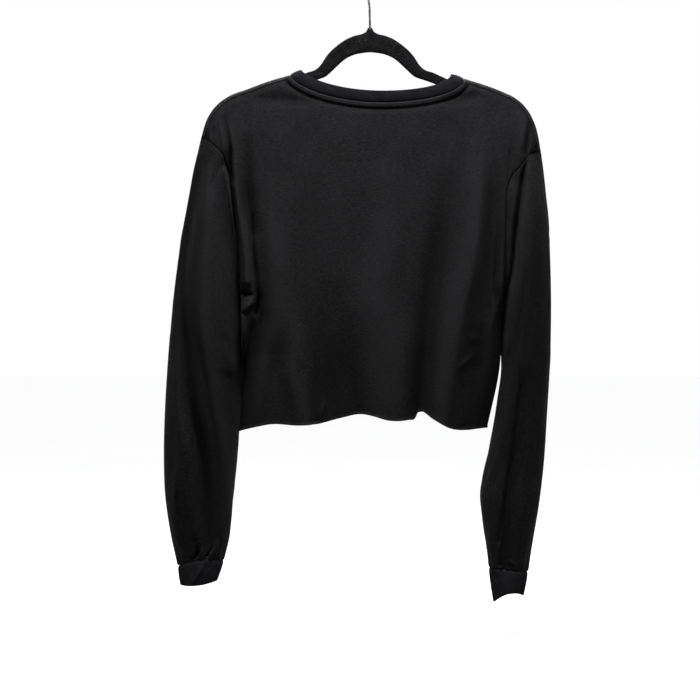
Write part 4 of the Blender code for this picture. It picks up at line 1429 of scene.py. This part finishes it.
@dataclass
class Tube:
    """A ribbed band of doubled knit: an outer face, a round free edge and an inner face."""

    seam: Array                     # points of the loop where it is sewn on
    edge: Array                     # points of its free edge
    out: Array                      # directions out of its face
    thick: float = 2.0
    crown: float = 1.0
    ribs: int = 100
    rib_rise: float = 0.28
    face_rows: int = 14
    round_rows: int = 6
    tuck: float = 1.2               # how far it is drawn in at its seam
    tuck_reach: float = 1.6
    tuck_inside: float = 0.7        # the share of it at the inner face
    rib_fade: float = 6.0
    lap: float = 2.0                # how far it reaches under the cloth it is sewn to

    def section(self, share: float, tall: float) -> tuple[float, float]:
        """Gives the band's form across its width.

        Args:
            share: The share of the way from its seam to its free edge.
            tall: Its width.

        Returns:
            How far it bows out there, and how far its seam draws it in.
        """
        place = max(share, 0.0)
        return self.crown * math.sin(place * math.pi), self.tuck * math.exp(-place * tall / self.tuck_reach)

    def sheet(self, flip: bool) -> Sheet:
        """Works out the band.

        Args:
            flip: Whether its faces turn the other way.

        Returns:
            The band's sheet, closed both ways.
        """
        height = self.edge - self.seam
        tall = np.linalg.norm(height, axis=-1, keepdims=True)
        up = height / tall
        columns = len(self.seam)
        rib = np.cos(np.arange(columns) / columns * 2 * math.pi * self.ribs)[:, None] * self.rib_rise
        half = self.thick / 2
        rows = []
        middle = self.seam - self.out * half
        lapped = -self.lap / float(tall.mean())
        for share in (lapped, *np.linspace(0.0, 1.0, self.face_rows + 1)):
            bow, sewn = self.section(share, float(tall.mean()))
            fade = min(1.0, max(share, 0.0) * self.rib_fade)
            rise = half + bow - sewn + rib * fade
            rows.append(middle + (height - up * half) * share + self.out * rise)
        top = middle + height - up * half
        for turn in np.linspace(0.0, math.pi, self.round_rows + 2)[1:-1]:
            ring = self.out * math.cos(turn) + up * math.sin(turn)
            rows.append(top + ring * (half + rib * math.cos(turn / 2)))
        for share in (*np.linspace(1.0, 0.0, self.face_rows // 2 + 1), lapped):
            bow, sewn = self.section(share, float(tall.mean()))
            rise = bow - half - sewn * self.tuck_inside
            rows.append(middle + (height - up * half) * share + self.out * rise)
        made = Sheet(np.array(rows), closed=(True, True), flip=flip)
        # painted light on the ribs' crests and painted shade between them
        made.painted_shade = np.broadcast_to(rib[:, 0] / self.rib_rise * 0.5, made.points.shape[:2]).copy()
        return made


def even_loop(points: Array, count: int) -> Array:
    """Spreads points evenly along a closed loop.

    Args:
        points: The loop, with any further numbers that follow it in its later columns.
        count: How many points to give.

    Returns:
        The evenly spread loop.
    """
    closed = np.concatenate([points, points[:1]])
    far = np.concatenate([[0.0], np.cumsum(np.linalg.norm(np.diff(closed[:, :3], axis=0), axis=1))])
    at = np.arange(count) / count * far[-1]
    return np.stack([np.interp(at, far, closed[:, k]) for k in range(closed.shape[1])], axis=-1)


@dataclass
class NeckBand:
    """The ribbed crew neck band."""

    body: Body
    free: NeckLoop = NeckLoop(8.7, 107.1, 140.0, 145.9, 28.8, 80.0)
    lean_back: float = 1.5
    lean_front: float = -2.0
    ribs: int = 236
    points_per_rib: int = 4

    def tube(self) -> Tube:
        """Works out the band's loops."""
        turns = np.linspace(0.0, 2 * math.pi, 1200, endpoint=False)
        behind = turns <= math.pi
        loops = []
        for loop in (self.body.neck, self.free):
            x = loop.centre - loop.half * np.cos(turns)
            down = np.where(behind, self.body.neck_down(loop, x, Half.BACK),
                            self.body.neck_down(loop, x, Half.FRONT))
            loops.append(np.stack([x, np.zeros_like(x), -down], axis=-1))
        seam, edge = loops
        depth = []
        for half in Half:
            fall = np.maximum(-seam[:, 2] - self.body.shoulder_down(seam[:, 0]), 0.0)
            full = self.body.base_depth(seam[:, 0], -seam[:, 2], half)
            depth.append(full * quarter_round(fall / self.body.shoulder_round))
        seam[:, 1] = np.where(behind, -depth[0], depth[1])
        lean = np.where(behind, -self.lean_back, self.lean_front)
        edge[:, 1] = seam[:, 1] + lean * np.sqrt(np.abs(np.sin(turns)))
        both = even_loop(np.concatenate([seam, edge], axis=1), self.ribs * self.points_per_rib)
        seam, edge = both[:, :3], both[:, 3:]
        along = unit(np.roll(seam, -1, axis=0) - np.roll(seam, 1, axis=0))
        out = unit(np.cross(edge - seam, along))
        centre = seam.mean(axis=0)
        outside = np.sign(np.sum(out * (seam - centre) * np.array([1.0, 1.0, 0.0]), axis=1).mean())
        return Tube(seam, edge, out * outside, ribs=self.ribs, rib_rise=0.25)


@dataclass
class Cuff:
    """A ribbed cuff on the end of a sleeve."""

    sleeve: Sleeve
    free: CuffEdge
    creases: tuple[Crease, ...]
    ribs: int = 62
    points_per_rib: int = 6

    def sheet(self) -> Sheet:
        """Works out the cuff, with its ribs and its creases."""
        turns = self.sleeve.turns()
        top = self.sleeve.oval(1.0)
        rise, side = self.sleeve.folds(top, turns)
        top[:, 1] += side * rise
        across = (1 - np.cos(turns)) / 2
        free = self.free
        low = np.stack([free.out_x + (free.in_x - free.out_x) * across,
                        free.lean - free.depth * np.sin(turns),
                        -(free.out_down + (free.in_down - free.out_down) * across)], axis=-1)
        low[:, 2] += np.where(np.sin(turns) > 0, free.back_lift, free.front_lift) * np.sin(turns) ** 2
        both = even_loop(np.concatenate([top, low], axis=1), self.ribs * self.points_per_rib)
        top, low = both[:, :3], both[:, 3:]
        along = unit(np.roll(top, -1, axis=0) - np.roll(top, 1, axis=0))
        out = unit(np.cross(low - top, along))
        outside = np.sign(np.sum(out * (top - top.mean(axis=0)), axis=1).mean())
        tube = Tube(top, low, out * outside, ribs=self.ribs, crown=0.6, thick=1.8, rib_rise=0.3, tuck=2.2)
        sheet = tube.sheet(flip=self.sleeve.arm is Arm.RIGHT)
        behind = sheet.points[..., 1] < free.lean
        rise = relief(self.creases, sheet.points[..., 0], -sheet.points[..., 2]) * behind
        sheet.points[..., 1] -= rise
        return sheet


@dataclass(frozen=True)
class StitchRow:
    """A row of machine stitches, as small capsules of thread that lie on the cloth."""

    pitch: float = 2.3
    length: float = 1.8
    thick: float = 0.75
    sides: int = 6
    sunk: float = 0.05
    reach: float = 0.4              # how far ahead and behind its direction is read
    rings: tuple[tuple[float, float, float], ...] = (   # place along it, width, lift
        (-0.5, 0.15, -0.25), (-0.42, 0.6, -0.05), (-0.2, 1.0, 0.1),
        (0.2, 1.0, 0.1), (0.42, 0.6, -0.05), (0.5, 0.15, -0.25),
    )

    def along(self, path: Array, out: Array) -> tuple[Array, Array]:
        """Lays stitches along a path.

        Args:
            path: Points on the cloth.
            out: The directions out of the cloth there.

        Returns:
            The points and faces of all the stitches.
        """
        far = np.concatenate([[0.0], np.cumsum(np.linalg.norm(np.diff(path, axis=0), axis=1))])
        at = np.arange(self.pitch / 2, far[-1], self.pitch)
        spread = [np.stack([np.interp(at + shift, far, part[:, k]) for k in range(3)], axis=-1)
                  for part, shift in ((path, 0.0), (path, self.reach), (path, -self.reach), (out, 0.0))]
        centre, ahead, behind, normal = spread
        run, normal = unit(ahead - behind), unit(normal)
        side = np.cross(run, normal)
        turns = np.arange(self.sides) / self.sides * 2 * math.pi
        rings = []
        for place, width, lift in self.rings:
            middle = centre + run * place * self.length + normal * (self.thick * lift - self.sunk)
            radius = self.thick / 2 * width
            around = [(side * math.cos(t) + normal * math.sin(t)) * radius for t in turns]
            rings.append(np.stack([middle + reach for reach in around], axis=1))
        points = np.stack(rings, axis=1)
        count, layers, sides = points.shape[:3]
        faces = []
        for stitch in range(count):
            base = stitch * layers * sides
            for layer in range(layers - 1):
                for s in range(sides):
                    a, b = base + layer * sides + s, base + layer * sides + (s + 1) % sides
                    faces.append((a, b, b + sides, a + sides))
            faces.append(tuple(range(base + sides - 1, base - 1, -1)))
            last = base + (layers - 1) * sides
            faces.append(tuple(range(last, last + sides)))
        return points.reshape(-1, 3), faces


@dataclass
class Stitching:
    """The stitch rows on the taped strips of the neck and the shoulders."""

    body: Body
    row: StitchRow = StitchRow()
    neck_rows: tuple[float, ...] = (1.4,)
    shoulder_rows: tuple[float, ...] = (5.0,)

    def path(self, line: Array, gap: float, half: Half, side: float) -> tuple[Array, Array]:
        """Lays a line on a panel beside a seam.

        Args:
            line: The seam, as across and down.
            gap: Distance from the seam.
            half: Back or front.
            side: Which side of the seam it lies on.

        Returns:
            Points on the cloth, and the directions out of it.
        """
        along = unit(np.gradient(line, axis=0))
        beside = line + np.stack([-along[:, 1], along[:, 0]], axis=-1) * gap * side
        x, down = beside[:, 0], beside[:, 1]
        step = 0.4
        depth = [self.body.depth(x + dx, down + dd, half) for dx, dd in
                 ((0.0, 0.0), (step, 0.0), (-step, 0.0), (0.0, step), (0.0, -step))]
        across, downward = (depth[1] - depth[2]) / (2 * step), (depth[3] - depth[4]) / (2 * step)
        out = unit(np.stack([-across, np.full_like(x, half.value), downward], axis=-1))
        return np.stack([x, half.value * depth[0], -down], axis=-1), out

    def build(self, material: bpy.types.Material) -> bpy.types.Object:
        """Makes all the stitches as one piece.

        Args:
            material: Their material.

        Returns:
            The piece.
        """
        points, faces, base = [], [], 0
        for half in Half:
            lines = [(self.body.neck_line(half, 400)[4:-4], gap, 1.0) for gap in self.neck_rows]
            if half is Half.BACK:
                lines += [(self.body.shoulder_line(arm, 200)[8:], gap, float(arm.value))
                          for arm in Arm for gap in self.shoulder_rows]
            for line, gap, side in lines:
                made, cells = self.row.along(*self.path(line, gap, half, side))
                points.append(made)
                faces += [tuple(index + base for index in cell) for cell in cells]
                base += len(made)
        mesh = bpy.data.meshes.new("seam_stitches")
        mesh.from_pydata((np.concatenate(points) * MM).tolist(), [], faces)
        mesh.materials.append(material)
        mesh.shade_smooth()
        made = bpy.data.objects.new("seam_stitches", mesh)
        bpy.context.scene.collection.objects.link(made)
        return made


# ---------------------------------------------------------------- hanger and hook
@dataclass
class Hanger:
    """The flocked hanger and its wire hook."""

    thick: float = 4.8
    sides: int = 28
    square: float = 0.7
    steps: int = 220
    end_round: float = 2.2
    least: float = 0.02             # the share of its thickness at its very ends
    hub_half: float = 10.0
    hub_steps: int = 41
    seam_bead: float = 0.25
    bead_place: tuple[float, float] = (-0.55, 0.12)     # how high on the slice, and how broad
    wire: float = 3.6
    wire_sides: int = 16
    loop_radius: float = 18.0
    loop_turn: tuple[float, float] = (236.0, -18.0)
    slices: tuple[Slice, ...] = (
        Slice(0.0, 80.1, 115.0), Slice(3.2, 80.3, 115.1), Slice(5.2, 84.6, 115.3),
        Slice(8.5, 87.0, 115.7), Slice(22.9, 91.4, 118.6), Slice(35.8, 97.2, 125.0),
        Slice(46.0, 104.4, 133.8), Slice(55.5, 112.6, 142.9), Slice(63.5, 121.9, 149.6),
        Slice(69.4, 131.4, 152.2), Slice(74.5, 137.0, 153.8), Slice(91.5, 144.4, 159.8),
        Slice(115.0, 155.0, 168.5), Slice(132.0, 160.6, 174.0), Slice(157.3, 166.8, 181.0),
        Slice(191.6, 178.6, 192.6), Slice(207.0, 187.5, 200.5), Slice(215.0, 195.5, 205.8),
        Slice(218.6, 201.0, 206.8),
    )
    stem: tuple[Outline, ...] = (
        Outline(0.0, 84.0), Outline(-0.4, 62.0), Outline(-1.0, 48.0), Outline(-2.2, 41.0),
        Outline(-5.0, 35.8),
    )

    def sheet(self) -> Sheet:
        """Works out the hanger as upright slices from its left end to its right end."""
        end = self.slices[-1].out
        x = np.sort(np.concatenate([np.linspace(-end, end, self.steps),
                                    np.linspace(-self.hub_half, self.hub_half, self.hub_steps)]))
        top, bottom = (read(self.slices, "out", name, np.abs(x)) for name in ("top", "bottom"))
        turns = (np.arange(self.sides) + 0.5) / self.sides * 2 * math.pi
        round_y = np.sign(np.cos(turns)) * np.abs(np.cos(turns)) ** self.square
        round_z = np.sign(np.sin(turns)) * np.abs(np.sin(turns)) ** self.square
        shape = np.maximum(quarter_round((end - np.abs(x)) / self.end_round), self.least)
        half = (bottom - top) / 2 * shape
        thick = self.thick / 2 * shape
        high, broad = self.bead_place
        bead = self.seam_bead * np.exp(-((np.sin(turns) - high) / broad) ** 2)
        points = np.stack([np.broadcast_to(x[:, None], (len(x), self.sides)),
                           (thick[:, None] + bead) * round_y,
                           -(top + bottom)[:, None] / 2 + half[:, None] * round_z], axis=-1)
        return Sheet(points, closed=(False, True))

    def build(self, material: bpy.types.Material) -> bpy.types.Object:
        """Makes the hanger with closed ends.

        Args:
            material: Its material.

        Returns:
            The piece.
        """
        sheet = self.sheet()
        made = sheet.build("flocked_hanger", material)
        rows, columns = sheet.points.shape[:2]
        shape = bmesh.new()
        shape.from_mesh(made.data)
        shape.verts.ensure_lookup_table()
        last = (rows - 1) * columns
        shape.faces.new([shape.verts[i] for i in reversed(range(columns))])
        shape.faces.new([shape.verts[i] for i in range(last, last + columns)])
        bmesh.ops.recalc_face_normals(shape, faces=shape.faces)
        shape.to_mesh(made.data)
        shape.free()
        made.data.shade_smooth()
        return made

    def build_hook(self, material: bpy.types.Material) -> bpy.types.Object:
        """Makes the bent wire with a rounded free end.

        Args:
            material: Its material.

        Returns:
            The piece.
        """
        centre = self.wire / 2 - self.loop_radius
        turns = np.radians(np.linspace(*self.loop_turn, 72))
        stem = [(point.x, -point.down) for point in self.stem]
        loop = [(self.loop_radius * math.cos(t), centre + self.loop_radius * math.sin(t)) for t in turns]
        route = np.array([(x, 0.0, z) for x, z in stem + loop])
        far = np.concatenate([[0.0], np.cumsum(np.linalg.norm(np.diff(route, axis=0), axis=1))])
        tip = self.wire / 2
        rounded = far[-1] - tip * (1 - np.sin(np.linspace(0.1, 1.0, 7) * math.pi / 2))
        at = np.concatenate([np.linspace(0.0, far[-1] - tip, 150), rounded])
        line = np.stack([through(far, route[:, k], at) for k in range(3)], axis=-1)
        past = ((at - far[-1] + tip) / tip).clip(0.0, 0.999)
        radius = tip * np.sqrt(np.clip(1 - past ** 2, 0.0, 1.0))
        run = unit(np.gradient(line, axis=0))
        side = np.array([0.0, 1.0, 0.0])
        up = np.cross(run, side)
        turn = np.arange(self.wire_sides) / self.wire_sides * 2 * math.pi
        rings = line[:, None] + radius[:, None, None] * (
            np.cos(turn)[None, :, None] * side + np.sin(turn)[None, :, None] * up[:, None])
        return Sheet(rings, closed=(False, True), flip=True).build("wire_hook", material)


# ---------------------------------------------------------------- studio
@dataclass
class Studio:
    """Camera, lights, pale floor and white surroundings."""

    scale: float = 1.43             # millimetres for each pixel of a 700 pixel frame at the hanger
    pixels: int = 700
    centre: Vector = Vector((-0.0286, 0.0, -0.5405))
    distance: float = 3.0
    sensor: float = 36.0
    floor_down: float = 0.945
    floor_half: float = 30.0
    key_place: Vector = Vector((0.01, -0.52, 0.60))
    key_aim: Vector = Vector((-0.01, 0.0, -0.42))
    key_power: float = 21.0
    key_size: float = 0.30
    kicker_place: Vector = Vector((1.5, 1.0, 0.3))
    kicker_power: float = 5.0
    kicker_size: float = 0.8
    top_place: Vector = Vector((0.0, -0.22, 2.0))
    top_strength: float = 2.4
    top_angle: float = 26.0
    surround: float = 0.09

    def build(self) -> None:
        """Sets all of it up."""
        scene = bpy.context.scene
        camera = bpy.data.cameras.new("camera")
        camera.sensor_width = self.sensor
        camera.lens = self.sensor * self.distance / (self.pixels * self.scale * MM)
        seen = bpy.data.objects.new("camera", camera)
        seen.location = self.centre + Vector((0.0, -self.distance, 0.0))
        seen.rotation_euler = (math.pi / 2, 0.0, 0.0)
        scene.collection.objects.link(seen)
        scene.camera = seen
        scene.view_settings.view_transform = "Standard"
        as_placed, front_to_back, side_to_side = (
            Vector(flip) for flip in ((1.0, 1.0, 1.0), (1.0, -1.0, 1.0), (-1.0, 1.0, 1.0)))
        for name, flip in (("back_key", as_placed), ("front_key", front_to_back)):
            self.lamp(name, "AREA", self.key_place * flip, self.key_aim,
                      energy=self.key_power, size=self.key_size)
        for name, flip in (("right_kicker", as_placed), ("left_kicker", side_to_side)):
            self.lamp(name, "AREA", self.kicker_place * flip, self.key_aim,
                      energy=self.kicker_power, size=self.kicker_size)
        self.lamp("top", "SUN", self.top_place, Vector((0.0, 0.0, 0.0)),
                  energy=self.top_strength, angle=math.radians(self.top_angle))
        self.surroundings(scene)
        self.floor()

    def lamp(self, name: str, kind: str, place: Vector, aim: Vector, **settings: float) -> None:
        """Adds a light.

        Args:
            name: Its name.
            kind: Its type.
            place: Where it is.
            aim: What it points at.
            settings: Its power and size.
        """
        light = bpy.data.lights.new(name, kind)
        for field, value in settings.items():
            setattr(light, field, value)
        made = bpy.data.objects.new(name, light)
        made.location = place
        made.rotation_mode = "QUATERNION"
        made.rotation_quaternion = (aim - place).to_track_quat("-Z", "Y")
        made.visible_camera = False
        bpy.context.scene.collection.objects.link(made)

    def surroundings(self, scene: bpy.types.Scene) -> None:
        """Makes a white background that lights the scene softly.

        Args:
            scene: The scene.
        """
        world = bpy.data.worlds.new("white_room")
        scene.world = world
        world.use_nodes = True
        nodes, links = world.node_tree.nodes, world.node_tree.links
        seen, glow = nodes.new("ShaderNodeBackground"), nodes["Background"]
        seen.inputs["Color"].default_value = (1.0, 1.0, 1.0, 1.0)
        glow.inputs["Color"].default_value = (0.96, 0.98, 1.0, 1.0)
        glow.inputs["Strength"].default_value = self.surround
        path, mix = nodes.new("ShaderNodeLightPath"), nodes.new("ShaderNodeMixShader")
        links.new(path.outputs["Is Camera Ray"], mix.inputs[0])
        links.new(glow.outputs[0], mix.inputs[1])
        links.new(seen.outputs[0], mix.inputs[2])
        links.new(mix.outputs[0], nodes["World Output"].inputs[0])

    def floor(self) -> None:
        """Makes a plain pale floor below the cuffs."""
        mesh = bpy.data.meshes.new("floor")
        half = self.floor_half
        corners = [(-half, -half), (half, -half), (half, half), (-half, half)]
        mesh.from_pydata([(x, y, -self.floor_down) for x, y in corners], [], [(0, 1, 2, 3)])
        mesh.materials.append(PaleFloor().material())
        made = bpy.data.objects.new("floor", mesh)
        made.visible_diffuse = False
        bpy.context.scene.collection.objects.link(made)


LEFT_SLEEVE: dict[str, Any] = dict(
    sections=(
        Section(0.00, -241.0, 235.5, -181.0, 470.0, 30.0, 0.0),
        Section(0.03, -245.5, 254.0, -185.0, 478.0, 25.0, 0.0),
        Section(0.10, -254.0, 294.6, -186.0, 492.0, 31.0, 0.0),
        Section(0.21, -267.0, 366.0, -185.5, 526.0, 39.0, -0.5),
        Section(0.35, -279.0, 447.6, -185.6, 572.0, 42.0, -1.0),
        Section(0.49, -286.9, 533.4, -186.0, 619.0, 42.0, -1.5),
        Section(0.64, -293.2, 629.2, -187.6, 669.0, 40.0, -3.0),
        Section(0.74, -294.6, 690.7, -191.0, 712.0, 38.0, -3.0),
        Section(0.85, -292.0, 755.0, -195.5, 759.3, 34.0, -3.0),
        Section(0.94, -282.8, 812.2, -201.5, 809.4, 29.0, -4.0),
        Section(1.00, -274.2, 847.7, -208.4, 839.4, 23.0, -6.0),
    ),
    back_creases=(
        # the sharp ridge from the shoulder to the cuff, and the deep trough on its outer side
        Crease(((-231, 262), (-232, 293), (-233, 335), (-235, 405), (-239, 455), (-238, 512),
                (-233, 540), (-221, 612), (-209, 683), (-208, 755), (-211, 800)),
               (2, 6, 8, 8, 8, 8, 7, 6, 6, 5, 2), 6, 16),
        Crease(((-248, 275), (-250, 297), (-257, 340), (-263, 383), (-268, 430), (-268, 470), (-264, 540),
                (-257, 612), (-242, 683), (-236, 755), (-234, 815)),
               (-8, -13, -18, -20, -20, -18, -14, -13, -14, -9, -3), 9, 11),
        Crease(((-272, 520), (-274, 600), (-268, 683), (-277, 755), (-274, 810)), (0, 4, 5, 5, 2), 7, 7),
        # elbow and cuff
        Crease(((-214, 515), (-202, 530), (-190, 556)), (0, -1.2, 0), 6, 6),
        Crease(((-213, 560), (-204, 566), (-194, 568)), (0, 1.4, 0), 5, 5),
        Crease(((-210, 586), (-203, 580), (-193, 584)), (0, -1.2, 0), 5, 5),
        Crease(((-245, 812), (-244, 822), (-247, 832), (-252, 838)), (0, -6, -9, -3), 2.5, 2.5),
        Crease(((-253, 813), (-248, 810), (-242, 808)), (0, -3, 0), 2.5, 2),
        Crease(((-229, 835), (-223, 825), (-217, 813)), (3, 5, 2), 3, 4),
        Crease(((-231, 833), (-226, 825), (-221, 816)), (-4, -5, 0), 1.8, 1.8),
        Crease(((-206, 500), (-199, 540), (-196, 600), (-198, 660)), (0, 2, 2, 0), 6, 6),
    ),
    front_creases=(
        Crease(((-225, 300), (-232, 450), (-228, 600)), (0, 6, 0), 12, 14),
        Crease(((-252, 420), (-250, 600), (-240, 800)), (0, -9, -3), 14, 16),
        Crease(((-246, 578), (-226, 574), (-212, 560)), (0, -2.6, 0), 5, 5),
        Crease(((-208, 640), (-214, 700), (-220, 790)), (0, 4, 0), 8, 8),
    ),
    seam_lift=6.5,
    nest_x=7.0,
)
RIGHT_SLEEVE: dict[str, Any] = dict(
    sections=(
        Section(0.00, 243.8, 253.7, 189.0, 474.8, 30.0, 0.0),
        Section(0.03, 245.8, 267.0, 191.0, 482.0, 34.0, 0.0),
        Section(0.10, 250.0, 306.0, 190.5, 497.6, 38.0, 0.5),
        Section(0.21, 255.6, 361.8, 188.6, 526.2, 40.0, 2.0),
        Section(0.35, 259.2, 457.6, 188.6, 569.1, 39.0, 4.0),
        Section(0.49, 258.5, 546.0, 182.0, 620.6, 38.0, 6.0),
        Section(0.64, 253.6, 638.0, 171.6, 680.7, 37.0, 7.5),
        Section(0.74, 249.6, 699.0, 161.5, 726.4, 35.0, 8.0),
        Section(0.85, 241.6, 765.0, 158.9, 762.2, 34.0, 4.5),
        Section(0.94, 232.0, 819.4, 165.9, 818.0, 29.0, 1.0),
        Section(1.00, 225.6, 855.7, 169.4, 849.4, 22.0, -4.0),
    ),
    back_creases=(
        # the black valley beside the armhole and the lit strip on its outer side
        Crease(((221, 266), (216, 307), (210, 356), (204.5, 410), (200.6, 439), (196.9, 456), (193.3, 485),
                (190.6, 520)), (-9, -11, -12, -12, -12, -11, -9, -3), 4.5, 3),
        Crease(((206, 300), (201, 350), (196, 400)), (0, 3, 0), 4, 4),
        Crease(((226, 285), (219, 335), (213, 383), (209.5, 420), (204, 456), (198.5, 493), (195.5, 520),
                (190.5, 573), (179, 655), (167, 736)), (2, 6, 7, 7, 7, 7, 7, 6, 5, 3), 4, 16),
        Crease(((246, 320), (248, 420), (246, 540), (238, 660)), (0, -3, -4, 0), 14, 12),
        Crease(((214, 560), (211, 612), (203, 683), (196, 726), (192.5, 755), (190.5, 798), (186.6, 846)),
               (0, -6, -8, -8, -9, -9, -8), 4, 15),
        Crease(((192, 735), (186.5, 782), (182, 812)), (0, -4, -3), 2.5, 3.5),
        Crease(((196, 838), (201, 842), (206, 846)), (0, 2, 1), 3, 3),
    ),
    nest_end=0.30,
    flat_inside=0.7,
    flat_below=0.7,
    steep=0.12,
    front_creases=(
        Crease(((228, 300), (226, 450), (214, 620)), (0, 6, 0), 14, 12),
        Crease(((210, 480), (206, 640), (200, 800)), (0, -9, -3), 12, 14),
        Crease(((192, 590), (208, 598), (228, 596)), (0, -2.6, 0), 5, 5),
        Crease(((222, 640), (218, 710), (208, 790)), (0, 4, 0), 8, 8),
    ),
    seam_lift=0.0,
)
# the free edge of each cuff, and its creases
CUFFS: dict[Arm, tuple[CuffEdge, tuple[Crease, ...]]] = {
    Arm.LEFT: (
        CuffEdge(-270.6, 875.2, -218.2, 869.4, 22.0, -6.0, -2.5, 1.0),
        (Crease(((-254, 874), (-243, 858), (-231, 838)), (1, 2.5, 1), 3, 4),),
    ),
    Arm.RIGHT: (
        CuffEdge(219.3, 890.6, 176.2, 899.6, 21.0, -4.0, 8.5, 3.0),
        (Crease(((174, 853), (178, 862), (182, 871)), (-1, -3, 0), 2.5, 2.5),
         Crease(((190, 852), (190, 870), (189, 888)), (0.5, 2, 1), 2, 2)),
    ),
}
# the area of each panel, in square metres
PANEL_AREAS = {Half.BACK: 0.225, Half.FRONT: 0.205}


def main() -> None:
    """Builds the top, the hanger and the studio round the solids."""
    logging.basicConfig(level=logging.INFO, format="%(name)s: %(message)s")
    body = Body()
    jersey, rib = Jersey().material(), RibKnit().material()
    sleeve_jersey = Jersey("black_sleeve_jersey", mottle=2.5).material()
    # the cuffs get a lighter copy of the rib colour: painted light that makes up for the light they miss
    # below the sleeves
    lightened_cuff_rib = RibKnit("black_lightened_cuff_rib", Colour(0.0068, 0.0066, 0.0077),
                       Colour(0.0228, 0.0221, 0.0253)).material()
    for half, area in PANEL_AREAS.items():
        node = f"{half.name.lower()}_panel"
        panel = dress(body.panel(half).build(f"{node}_cloth", jersey, body.wall), "jersey", node)
    for arm, sizes in ((Arm.LEFT, LEFT_SLEEVE), (Arm.RIGHT, RIGHT_SLEEVE)):
        side = arm.name.lower()
        sleeve = Sleeve(body, arm, **sizes)
        cloth = sleeve.sheet().build(f"{side}_sleeve_cloth", sleeve_jersey, sleeve.wall)
        made = dress(cloth, "jersey", f"{side}_sleeve")
        cuff = Cuff(sleeve, *CUFFS[arm]).sheet()
        band = dress(cuff.build(f"{side}_lightened_cuff_rib", lightened_cuff_rib), "rib_knit", f"{side}_cuff")
    neck = NeckBand(body).tube().sheet(flip=False).build("neck_band_rib", rib)
    dress(neck, "rib_knit", "neck_band")
    dress(Stitching(body).build(Thread().material()), "jersey")
    hanger = Hanger()
    dress(hanger.build(Flock().material()), "flock", "hanger")
    dress(hanger.build_hook(Chrome().material()), "chrome_wire", "hook")
    Studio().build()


if __name__ == "__main__":
    main()
